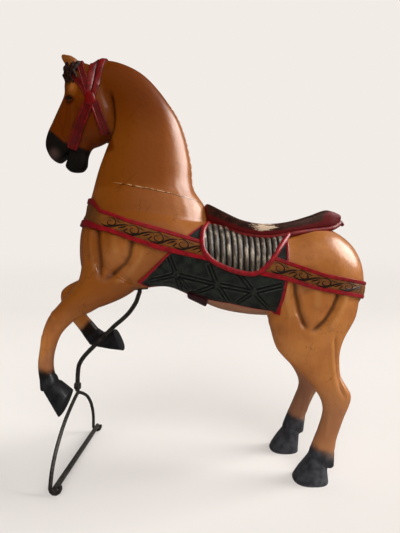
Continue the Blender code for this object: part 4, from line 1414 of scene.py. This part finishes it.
@dataclass
class Harness:
    """The decorated band round chest and rump, the blanket, the girth and the saddle flaps."""

    skin: Skin
    stations: int = 300
    core_x: float = 50.0
    core_swing: float = 225.0
    core_height: float = 640.0
    tries: int = 7
    band_rise: float = 6.0
    stripe_rise: float = 8.0
    stripe_top: float = 0.63
    stripe_low: float = 0.56
    tail: Row = (425, 460)
    tail_thinning: float = 0.28
    # Painted shade on the band's ground towards the front of the chest.
    shaded_chest: Row = (-262, -330)
    scroll_pitch: float = 67.0
    scroll_half: float = 21.0
    scroll_flat: float = 0.32
    curl_place: float = 0.3
    blanket_rise: float = 3.5
    blanket_wall: float = 6.5
    blanket_size: Row = (300.0, 200.0)
    blanket_grid: tuple[int, int] = (180, 128)
    edging_widths: Row = (9, 8, 4.5)
    edging_rise: float = 1.5
    cut_half: float = 3.7
    cut_depth: float = 2.8
    # A painted highlight beside each of the blanket's cut lines: its distance from the line and its half
    # width.
    highlight_beside_cut: Row = (4.4, 2.2)
    pair_gap: float = 4.6
    pair_ends: Row = (9, 6)
    flap_grid: tuple[int, int] = (165, 40)
    flap_wall: float = 16.0
    flute_pitch: float = 15.6
    flute_lean: float = 0.10
    flute_rise: float = 4.6
    flap_rise: float = 8.8
    piping_radius: float = 7.4
    piping_rise: float = 8.0

    def build(self) -> None:
        """Model and dress every piece of the harness."""
        self.band()
        self.scrolls()
        self.blankets()
        self.girth()
        self.flaps()

    def band_spot(self, turn: float, across: float) -> Spot:
        """Return the spot on the skin under the band.

        Args:
            turn: The angle round the horse, 0 towards the tail.
            across: From -1 at the band's lower edge to 1 at its upper edge.

        Returns:
            The place and the outward unit normal.
        """
        aim = Vector((math.cos(turn), math.sin(turn), 0))
        core = self.core_x + self.core_swing * math.cos(turn)
        height = self.core_height
        for _ in range(self.tries):
            spot = self.skin.out(Vector((core, 0, height)) * MM, aim)
            top, low = (height_at(line, spot[0].x / MM) for line in (BAND_TOP, BAND_LOW))
            height = (top + low) / 2 + across * (top - low) / 2
        return spot

    def band(self) -> None:
        """Model the band: an ochre ground between two raised red edges, thinner round the tail."""
        edge, flat, top, low = self.stripe_rise, self.band_rise, self.stripe_top, -self.stripe_low
        profile = [
            (-1.0, -4.0), (-1.0, edge - 2), (-0.96, edge), (low - 0.05, edge), (low, edge - 2),
            (low + 0.02, flat - 1.2), (low + 0.12, flat), (-0.2, flat), (0.1, flat), (0.35, flat),
            (top - 0.12, flat), (top - 0.02, flat - 1.2), (top, edge - 2), (top + 0.05, edge), (0.96, edge),
            (1.0, edge - 2), (1.0, -4.0),
        ]
        rings = []
        for k in range(self.stations + 1):
            turn = math.pi / 2 + 2 * math.pi * (k % self.stations) / self.stations
            spots = {across: self.band_spot(turn, across) for across, _ in profile}
            thin = 1 - self.tail_thinning * step(spots[0.1][0].x / MM, *self.tail)
            rings.append([raised(spots[across], lift * thin) for across, lift in profile])
        bm = bmesh.new()
        for name in ("across", "hollow"):
            mark(bm, name, (), 0.0)
        made = sweep(bm, rings, closed=True)
        across_layer, hollow = bm.verts.layers.float["across"], bm.verts.layers.float["hollow"]
        for row in made:
            for vert, (across, _) in zip(row, profile):
                if vert.is_valid:
                    vert[across_layer] = across
                    # painted shade on the ground at the front of the chest
                    vert[hollow] = 0.8 * step(vert.co.x / MM, *self.shaded_chest)
        for face in bm.faces:
            middle = sum(v[across_layer] for v in face.verts) / len(face.verts)
            face.material_index = 0 if low + 0.015 < middle < top - 0.015 else 1
        publish("breast_band", bm, BAND_GROUND, BAND_RED, crease=40)

    def scrolls(self) -> None:
        """Lay the running scroll, a curl and two leaves in each pitch, along both sides of the band."""
        bm = bmesh.new()
        for side in Side:
            turns, reaches, xs = self.centre_line(side)
            for run in SCROLL_RUNS:
                begin, end = np.interp(run, xs, reaches)
                count = max(1, round((end - begin) / self.scroll_pitch))
                pitch = (end - begin) / count
                for k in range(count):
                    self.curl(bm, turns, reaches, begin + pitch * (k + self.curl_place), pitch)
        publish("band_scrolls", bm, SCROLL_DARK, crease=50)

    def centre_line(self, side: Side) -> tuple[list[float], list[float], list[float]]:
        """Measure the band's middle along one side, from the chest to the tail.

        Args:
            side: Which side.

        Returns:
            For each of its points the angle, how far along it lies and its x, both in millimetres.
        """
        turns = [side.value * math.pi * (1 - k / 180) for k in range(181)]
        places = [self.band_spot(turn, 0.0)[0] for turn in turns]
        reaches = [0.0]
        for before, place in zip(places, places[1:]):
            reaches.append(reaches[-1] + (place - before).length / MM)
        return turns, reaches, [place.x / MM for place in places]

    def curl(self, bm: BMesh, turns: list[float], reaches: list[float], middle: float, pitch: float) -> None:
        """Lay one curl with its tail and leaves.

        Args:
            bm: The mesh that gets the strokes.
            turns: The angles along one side of the band, from centre_line.
            reaches: How far along the band each of them lies.
            middle: The reach of the curl's centre, in millimetres.
            pitch: The length of one repeat.
        """
        size = pitch / self.scroll_pitch
        centre, half_ground = (self.stripe_top - self.stripe_low) / 2, (self.stripe_top + self.stripe_low) / 2
        for stroke, half in SCROLL:
            spots = []
            for du, dv in between([(u * size, v) for u, v in stroke], 4):
                turn = float(np.interp(middle + du, reaches, turns))
                spots.append(self.band_spot(turn, centre + dv / self.scroll_half * half_ground))
            path = [raised(spot, self.band_rise) for spot in spots]
            middle_up = spots[len(spots) // 2][1]
            tube(bm, path, lambda t, h=half: h * MM * (0.30 + 0.70 * spindle(t, 0.03)), 6, self.scroll_flat,
                 middle_up)

    def blankets(self) -> None:
        """Model the saddle blanket: chip-carved stars, and a red edging along three sides."""
        bm = bmesh.new()
        lines = self.star_lines()
        long, deep = self.blanket_size

        def cut(x: Array, z: Array) -> Array:
            """Return how deep the stars' lines are cut."""
            return np.max([swell(to_stroke(x, z, row)[0], self.cut_half) for row in lines], axis=0)

        def glaze_in_cuts_and_highlight(u: Array, v: Array, x: Array, z: Array) -> Array:
            """Return how much glaze and painted shade lies in the cuts; below 0 where a painted highlight
            lies beside them.
            """
            off, half = self.highlight_beside_cut
            beside = np.max([swell(np.abs(to_stroke(x, z, row)[0] - off), half) for row in lines], axis=0)
            inside = cut(x, z)
            return np.where(inside > 0.25, inside, -beside)

        def edging(u: Array, v: Array, x: Array, z: Array) -> Array:
            """Return one on the red edging: front, rear, and the foot behind the elbow."""
            front, rear, foot = self.edging_widths
            behind_elbow = x > -50
            along_foot = ((1 - v) * deep < foot) & behind_elbow
            return ((u * long < front) | ((1 - u) * long < rear) | along_foot).astype(float)

        def rise(u: Array, v: Array, x: Array, z: Array) -> Array:
            """Return how far the blanket stands off the wood, less along its rim and in the cuts."""
            rim = np.minimum(np.minimum(u * long, (1 - u) * long), (1 - v) * deep)
            rounded = edging(u, v, x, z) - (rim < self.edging_rise)
            return self.blanket_rise + self.edging_rise * rounded - self.cut_depth * cut(x, z)

        for side in Side:
            panel = Panel(self.skin, BLANKET_TOP, BLANKET_FOOT, BLANKET_FRONT, BLANKET_REAR, side,
                          *self.blanket_grid)
            panel.lay(bm, rise, self.blanket_wall * MM, {"hollow": glaze_in_cuts_and_highlight, "edge": edging})
        edge = bm.verts.layers.float["edge"]
        for face in bm.faces:
            face.material_index = 1 if sum(v[edge] for v in face.verts) / len(face.verts) > 0.6 else 0
        publish("saddle_blanket", bm, BLANKET_PAINT, BAND_RED, crease=40)

    def star_lines(self) -> list[Table]:
        """Draw the blanket's cut lines, a pair along each arm of each star, closer at its tip.

        Returns:
            The lines, seen from the side.
        """
        rows = []
        inner, outer = self.pair_ends
        for centre, arms in STARS:
            for arm in arms:
                run = Vector(arm) - Vector(centre)
                length = run.length
                run.normalize()
                off = Vector((-run.y, run.x)) * self.pair_gap
                for turn in (-1, 1):
                    begin = Vector(centre) + run * inner + off * turn
                    end = Vector(centre) + run * (length - outer) + off * turn * 0.9
                    rows.append([tuple(begin), tuple(end)])
        return rows

    def girth(self) -> None:
        """Model the girth strap under the belly."""
        bm = bmesh.new()
        hoop(bm, self.skin, (-20, 585), (0, -1), 27.0, strap_cut(GIRTH_CUT, 8.0), 48, math.radians(43),
             math.radians(137))
        publish("girth_strap", bm, GIRTH_PAINT, crease=40)

    def flaps(self) -> None:
        """Model the fluted saddle flaps and the red piping round them."""
        silver, red = bmesh.new(), bmesh.new()

        def crest(u: Array, v: Array, x: Array, z: Array) -> Array:
            """Return how high each flute stands; the flutes lean out from the flap's middle."""
            phase = ((x - 6) - (x - 110) * self.flute_lean * ((z - 620) / 110)) / self.flute_pitch
            return np.sqrt(np.maximum(0.0, 1 - (2 * (phase % 1.0) - 1) ** 2))

        def rise(*place: Array) -> Array:
            """Return how far the flap stands off the wood."""
            return self.flap_rise + self.flute_rise * crest(*place)

        for side in Side:
            panel = Panel(self.skin, FLAP_TOP, FLAP_FOOT, FLAP_FRONT, FLAP_REAR, side, *self.flap_grid)
            panel.lay(silver, rise, self.flap_wall * MM, {"crest": crest})
            path = [raised(self.skin.flank(x, z, side), self.piping_rise) for x, z in between(PIPING, 5)]
            tube(red, path, self.piping_radius * MM, 14)
        publish("fluted_flaps", silver, SilverLeaf(), crease=50)
        publish("flap_piping", red, BAND_RED, crease=50)


def strap_cut(shape: Line, rise: float) -> Table:
    """Return a strap's cut at a height off the wood, with its edges sunk into the wood."""
    return [(-1, -3), *((share, rise + lift) for share, lift in shape), (1, -3)]


def hoop(bm: BMesh, skin: Skin, core: Row, aim: Row, half: float, profile: Table, steps: int,
         start: float = 0.0, end: float = math.pi, bow: float = 0.0, flare: float = 0.0) -> None:
    """Wrap a strap round the wood in a plane that holds the Y axis.

    Args:
        bm: The mesh that gets the strap.
        skin: The wood.
        core: A point (x, z) inside, on the strap's line.
        aim: The direction (x, z) in which the strap passes over the middle.
        half: Half the strap's width, in millimetres.
        profile: The strap's cut, from strap_cut.
        steps: How many steps lead round.
        start: The angle where it starts, 0 at the near side.
        end: The angle where it ends, pi at the far side.
        bow: How far the strap bows sideways halfway up each side, in millimetres.
        flare: How much wider the strap is over the middle than at its ends, as a share.
    """
    down = Vector((aim[0], 0, aim[1])).normalized()
    across = Vector((-down.z, 0, down.x))
    rings = []
    for k in range(steps + 1):
        turn = start + (end - start) * k / steps
        beam = Vector((0, -math.cos(turn), 0)) + down * math.sin(turn)
        ring = []
        for share, lift in profile:
            shift = share * half * (1 + flare * math.sin(turn) ** 2) + bow * math.sin(2 * turn) ** 2
            begin = Vector((core[0], 0, core[1])) * MM + across * shift * MM
            ring.append(raised(skin.out(begin, beam), lift))
        rings.append(ring)
    glaze_and_shade_grooves(bm, sweep(bm, rings), profile)


def glaze_and_shade_grooves(bm: BMesh, made: list[list], profile: Table, reach: float = 3.0) -> None:
    """Mark the low parts of a strap's cut, where dark glaze and painted shade lie.

    Args:
        bm: The mesh; nothing is marked when it has no "hollow" layer.
        made: The strap's rings of vertices.
        profile: The strap's cut, from strap_cut.
        reach: How far below the cut's top the glaze is full, in millimetres.
    """
    groove = bm.verts.layers.float.get("hollow")
    if groove is None:
        return
    top = max(lift for _, lift in profile)
    for row in made:
        for vert, (_, lift) in zip(row, profile):
            vert[groove] = min(1.0, (top - lift) / reach)


@dataclass
class Bridle:
    """The red bridle: crown strap, front strap, browband, cheek straps, throatlatches and rosettes."""

    skin: Skin
    boss_tall: float = 1.35
    boss_rise: float = 4.0

    def build(self) -> None:
        """Model and dress the bridle."""
        bm = bmesh.new()
        mark(bm, "hollow", (), 0.0)
        beaded = strap_cut(BEADED_CUT, 3.8)
        # The crown strap, the front strap and the browband.
        hoop(bm, self.skin, ROSETTE, (18, 139), 11.5, strap_cut(GROOVED_CUT, 3.8), 72, flare=0.85)
        hoop(bm, self.skin, ROSETTE, (-36, 112), 9.0, beaded, 64)
        hoop(bm, self.skin, ROSETTE, (-72, 88), 8.5, strap_cut(BEADED_CUT, 3.0), 64, bow=-6.0)
        # The cheek strap and the throatlatch.
        for side in Side:
            self.strip(bm, (-334, 1052), (-391, 928), 15.0, strap_cut(BEADED_CUT, 4.2), side)
            self.strip(bm, (-319, 1056), (-292, 972), 12.5, strap_cut(BEADED_CUT, 4.7), side)
        publish("bridle_straps", bm, STRAP_RED, crease=40)
        self.rosettes()

    def strip(self, bm: BMesh, begin: Row, end: Row, half: float, profile: Table, side: Side) -> None:
        """Lay a straight strap down one side of the head.

        Args:
            bm: The mesh that gets it.
            begin: Its upper end, seen from the side.
            end: Its lower end.
            half: Half its width, in millimetres.
            profile: Its cut, from strap_cut.
            side: Which side.
        """
        run = Vector((end[0] - begin[0], end[1] - begin[1])).normalized()
        off = Vector((-run.y, run.x))
        rings = []
        for k in range(25):
            x, z = along((begin, end), k / 24)
            rings.append([
                raised(self.skin.beside(x + off.x * share * half, z + off.y * share * half, side), lift)
                for share, lift in profile
            ])
        glaze_and_shade_grooves(bm, sweep(bm, rings), profile)

    def rosettes(self) -> None:
        """Model the low oval bosses where the straps meet."""
        bm = bmesh.new()
        for side in Side:
            place, _ = self.skin.beside(*ROSETTE, side)
            verts = [bm.verts.new((radius * MM, 0, height * MM)) for radius, height in BOSS]
            edges = [bm.edges.new(pair) for pair in zip(verts, verts[1:])]
            bmesh.ops.spin(bm, geom=verts + edges, cent=(0, 0, 0), axis=(0, 0, 1), angle=2 * math.pi,
                           steps=36, use_merge=True)
            island = list(grow(verts))
            bmesh.ops.remove_doubles(bm, verts=island, dist=WELD)
            island = [v for v in island if v.is_valid]
            turn = Vector((0, 0, 1)).rotation_difference(Vector((0, side.value, 0))).to_matrix()
            bmesh.ops.rotate(bm, verts=island, matrix=turn)
            bmesh.ops.scale(bm, verts=island, vec=(1, 1, self.boss_tall))
            out = Vector((0, side.value * self.boss_rise * MM, 0))
            bmesh.ops.translate(bm, verts=island, vec=place + out)
        publish("bridle_rosettes", bm, ROSETTE_RED, crease=40)


@dataclass
class Saddle:
    """The carved saddle: a dished seat with a red rim, pommel face and curled cantle tail."""

    rim_radius: float = 7.2
    rim_rise: float = 5.5
    dish: float = 5.0
    dish_share: float = 0.75
    worn: Row = (162.0, 0.70, 44.0, 0.34)  # x, share of the height, and how far it reaches each way
    claw: Line = ((380, 722), (392, 722), (401, 719), (408, 711))
    claw_root: float = 374.0

    def build(self) -> None:
        """Model and dress the seat and its rim."""
        bm = bmesh.new()
        for name in ("worn", "red"):
            mark(bm, name, (), 0.0)
        for ring in loft(bm, SADDLE, 40, 4.0, 6):
            self.shape_ring(bm, ring)
        for y, drop in ((-24, 9), (0, 0), (24, 9)):
            path = smooth_path([(x, y, z - drop) for x, z in self.claw], 4)
            tube(bm, path, lambda t: MM * (9.5 - 5.5 * t ** 1.5))
        mark(bm, "red", [v for v in bm.verts if v.co.x > self.claw_root * MM], 1.0)
        publish("saddle_seat", bm, WornSeat(), crease=45)
        rim = bmesh.new()
        for side in Side:
            path = [
                Vector((x0 * 0.8 + x1 * 0.2, side.value * width / 2, z0 + self.rim_rise)) * MM
                for x0, z0, x1, _, width, _ in between(SADDLE, 4)[2:]
            ]
            tube(rim, path, self.rim_radius * MM, 10)
        publish("saddle_rim", rim, STRAP_RED, crease=50)

    def shape_ring(self, bm: BMesh, ring: list) -> None:
        """Dish one ring of the seat, and mark where it is worn and where it is red.

        Args:
            bm: The seat's mesh.
            ring: The ring's vertices.
        """
        worn, red = bm.verts.layers.float["worn"], bm.verts.layers.float["red"]
        worn_x, worn_up, worn_long, worn_high = self.worn
        low, high = min(v.co.z for v in ring), max(v.co.z for v in ring)
        half = max(abs(v.co.y) for v in ring)
        x = sum(v.co.x for v in ring) / len(ring) / MM
        for vert in ring:
            across = abs(vert.co.y) / half
            up = (vert.co.z - low) / (high - low)
            if up > 0.5:
                behind_pommel = min(1, max(0, (x - 10) / 60))
                vert.co.z -= self.dish * MM * max(0.0, 1 - (across / self.dish_share) ** 2) * behind_pommel
            near = math.hypot((x - worn_x) / worn_long, (up - worn_up) / worn_high)
            vert[worn] = max(0.0, 1.15 - near) * (1 if across > 0.55 else 0.6)
            pommel, cantle = x < 5, up < (x - 285) / 75 and (up < 0.93 or x > 386)
            vert[red] = 1.0 if pommel or cantle else max(0.0, min(1.0, (0.62 - up) / 0.2))


@dataclass
class Extremities:
    """Hooves, ears, eyes, forelock and clipped mane."""

    skin: Skin
    locks: int = 13
    lock_pitch: float = 5.6
    lock_radius: float = 8.2
    ear_hollow: float = 0.55
    lid_half: float = 14.5
    lid_rise: float = 2.6
    temple_radius: float = 6.6
    temple_rise: float = 4.5
    mane_radius: float = 4.4
    mane_core: float = -170.0
    notch_steps: float = 9.0

    def build(self) -> None:
        """Model and dress them."""
        self.hooves()
        self.ears()
        self.eyes()
        self.forelock()
        self.mane()

    def hooves(self) -> None:
        """Model the four hooves and the cuffs of hair above them, bare wood where the soot ends."""
        for name, parts, mirror, paint in (
            ("near_hind_hoof", NEAR_HIND_FOOT, True, HIND_HOOF),
            ("far_hind_hoof", FAR_HIND_FOOT, False, HIND_HOOF),
            ("near_fore_hoof", NEAR_FORE_FOOT, False, FORE_HOOF),
            ("far_fore_hoof", FAR_FORE_FOOT, False, FORE_HOOF),
        ):
            bm = bmesh.new()
            bare = bm.verts.layers.float.new("bare")
            for rows in parts:
                loft(bm, rows, 28, 2.5, 1, mirror)
            black = np.clip(soot(*(np.array([v.co for v in bm.verts]) / MM).T), 0, 1)
            for vert, share in zip(bm.verts, black):
                vert[bare] = (1 - share) * (paint is HIND_HOOF)
            publish(name, bm, paint, crease=35)

    def ears(self) -> None:
        """Model the pricked ears, hollowed at the front."""
        bm = bmesh.new()
        for mirror in (False, True):
            for ring in loft(bm, EAR, 20, 2.2, 5, mirror):
                middle = sum((v.co for v in ring), Vector()) / len(ring)
                front = min(ring, key=lambda v: v.co.x)
                for vert in ring:
                    reach = max((middle - front.co).length, 1e-6)
                    share = max(0.0, 1 - (vert.co - front.co).length / reach)
                    vert.co += (middle - vert.co) * self.ear_hollow * share
        # The ears are painted with half the full browning, painted shade and glaze.
        for name in ("shade", "hollow"):
            mark(bm, name, bm.verts, 0.5)
        publish("ears", bm, HIDE, crease=60)

    def eyes(self) -> None:
        """Model the glass eyes and their lids."""
        glass, lids = bmesh.new(), bmesh.new()
        x, z, y = EYE
        for side in Side:
            ball = bmesh.ops.create_uvsphere(glass, u_segments=24, v_segments=16, radius=EYE_RADIUS * MM)
            bmesh.ops.translate(glass, verts=ball["verts"], vec=Vector((x, side.value * y, z)) * MM)
            for rise, reach in ((5.5, 1.0), (-5.0, 0.9)):
                path = []
                for t in (-1 + 2 * k / 12 for k in range(13)):
                    px, pz = x + self.lid_half * t * reach, z + rise * (1 - t * t) * 1.5 - 2.0 * t
                    path.append(raised(self.skin.beside(px, pz, side), self.lid_rise * (1 - 0.6 * t * t)))
                tube(lids, path, lambda t: MM * (1.2 + 2.0 * spindle(t, 0.05)), 10)
        # The lids take the full browning and painted shade and nearly the darkest glaze.
        mark(lids, "shade", lids.verts, 1.0)
        mark(lids, "hollow", lids.verts, 0.9)
        publish("eyes", glass, Glass(), crease=80)
        publish("eyelids", lids, HIDE, crease=80)

    def forelock(self) -> None:
        """Model the forelock's twisted locks, from the poll down the brow."""
        bm = bmesh.new()
        for k in range(self.locks):
            self.lock(bm, (k - self.locks // 2) * self.lock_pitch, math.sin(k * 2.4), 9 * math.cos(k * 1.7))
        for side in Side:
            for k, line in enumerate(TEMPLE_LOCKS):
                path = []
                for t, (x, z) in enumerate(between(line, 4)):
                    wave = 2.2 * math.sin(0.8 * t + 2.1 * k)
                    path.append(raised(self.skin.beside(x + wave, z, side), self.temple_rise))
                tube(bm, path, lambda t, k=k: MM * self.temple_radius * (1 - 0.6 * t ** 2.5)
                     * (1 + 0.2 * math.sin(9 * math.pi * t + 1.7 * k)))
        publish("forelock", bm, FORELOCK_PAINT, crease=60)

    def lock(self, bm: BMesh, y: float, bend: float, shorter: float) -> None:
        """Model one lock over the brow, which winds from side to side and narrows to its tip.

        Args:
            bm: The mesh that gets it.
            y: How far it starts off the centre plane, in millimetres.
            bend: How it winds, from -1 to 1.
            shorter: How much higher it ends than the middle lock, in millimetres, before the brow's curve.
        """
        curve = y * y
        drop = shorter - 0.010 * curve
        spine = [
            (-372, y * 0.8, 1176),
            (-382 - 2 * bend, y * 1.0, 1186 - 0.006 * curve),
            (-396, y * 1.15 + 3 * bend, 1184 - 0.008 * curve),
            (-409 + 0.004 * curve, y * 1.2 - 4 * bend, 1167),
            (-413 + 0.005 * curve - 2 * bend, y * 1.2 + 4 * bend, 1150),
            (-415 + 0.006 * curve, y * 1.1 - 3 * bend, 1136 - drop * 0.4),
            (-411 + 0.006 * curve, y * 1.05 + 2 * bend, 1126 - drop * 0.6),
        ]
        tube(bm, smooth_path(spine, 5), lambda t: MM * (self.lock_radius + 1.3 * bend) * (1 - 0.8 * t ** 2.2)
             * (1 + 0.20 * math.sin(11 * math.pi * t + 2 * bend)))

    def mane(self) -> None:
        """Model the clipped mane, a low notched comb along the crest."""
        bm = bmesh.new()
        path = []
        for k, (x, _, z) in enumerate(between([(x, 0, z) for x, z in MANE], 26)):
            start, aim = Vector((self.mane_core, 0, z - 30)), Vector((x - self.mane_core, 0, 30))
            notch = abs(math.sin(math.pi * k / self.notch_steps)) ** 0.6
            path.append(raised(self.skin.out(start * MM, aim * MM), -2.6 + 2.0 * notch))
        tube(bm, path, lambda t: MM * self.mane_radius * spindle(t, 0.06) ** 0.4, 10)
        # The mane takes the neck's browning and painted shade.
        shade = bm.verts.layers.float.new("shade")
        for vert in bm.verts:
            vert[shade] = browning_and_painted_shade(vert.co.x / MM, vert.co.z / MM)
        publish("clipped_mane", bm, HIDE, crease=80)


# --- studio -------------------------------------------------------------------------------------------
@dataclass
class Studio:
    """A pale floor and backdrop, a soft key light from the tail side and a low fill from the near side."""

    floor_half: float = 9.0
    eye: Row = (-0.014, -1.20, 0.563)
    tilt_up: float = 0.93
    lens: float = 27.0
    sensor: float = 36.0
    room_grey: float = 0.05

    def build(self) -> None:
        """Make the floor, backdrop, lights and camera."""
        self.ground()
        self.lights()
        self.camera()

    def ground(self) -> None:
        """Make the floor, curved up into a backdrop."""
        bm = bmesh.new()
        side_view = ((-6, 0), (3.2, 0), (3.8, 0.1), (4.3, 0.5), (4.5, 1.2), (4.5, 7))
        verts = [bm.verts.new((-self.floor_half, y, z)) for y, z in side_view]
        edges = [bm.edges.new(pair) for pair in zip(verts, verts[1:])]
        grown = bmesh.ops.extrude_edge_only(bm, edges=edges)["geom"]
        far_end = [g for g in grown if isinstance(g, bmesh.types.BMVert)]
        bmesh.ops.translate(bm, verts=far_end, vec=(2 * self.floor_half, 0, 0))
        mesh = mesh_of("floor", bm)
        mesh.shade_smooth()
        mesh.materials.append(BackdropPaper().make())
        floor = set_down("floor", mesh)
        floor.visible_glossy = False

    def lights(self) -> None:
        """Make the soft key, its sheen on glossy paint, the fill and the dim room."""
        for name, place, strength, spread, colour in (
            ("key", (0.84, 0.10, 0.52), 3.1, 30, (1.0, 0.97, 0.94)),
            ("sheen", (0.82, -0.04, 0.57), 5.6, 48, (1.0, 0.98, 0.96)),
            ("fill", (0.10, -0.72, 0.65), 1.9, 50, (1.0, 0.985, 0.97)),
        ):
            data = bpy.data.lights.new(name, "SUN")
            data.energy, data.angle, data.color = strength, math.radians(spread), colour
            lamp = set_down(name, data)
            lamp.visible_glossy = name == "sheen"
            lamp.visible_diffuse = name != "sheen"
            lamp.rotation_euler = Vector(place).to_track_quat("Z", "Y").to_euler()
        room = bpy.data.worlds.new("room")
        room.use_nodes = True
        room.node_tree.nodes["Background"].inputs["Color"].default_value = (*[self.room_grey] * 3, 1)
        bpy.context.scene.world = room
        bpy.context.scene.view_settings.view_transform = "Standard"

    def camera(self) -> None:
        """Set the camera level with the horse's elbow, looking across it."""
        data = bpy.data.cameras.new("camera")
        data.lens, data.sensor_width, data.sensor_fit = self.lens, self.sensor, "AUTO"
        camera = set_down("camera", data)
        camera.location = Vector(self.eye) + SHIFT
        camera.rotation_euler = (math.radians(90 + self.tilt_up), 0, 0)
        bpy.context.scene.camera = camera


def iron() -> None:
    """Give the iron nodes their finish."""
    for name in IRON_NODES:
        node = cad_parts[name]
        node.data.materials.clear()
        node.data.materials.append(ForgedIron().make())
        LOG.info("%s: forged iron", name)


def main() -> None:
    """Build the horse, its tack, its stand and the studio."""
    logging.basicConfig(level=logging.INFO, format="%(name)s %(message)s")
    figure = Figure()
    figure.build()
    skin = Skin(figure.skin)
    Harness(skin).build()
    Saddle().build()
    Bridle(skin).build()
    Extremities(skin).build()
    iron()
    Studio().build()


if __name__ == "__main__":
    main()
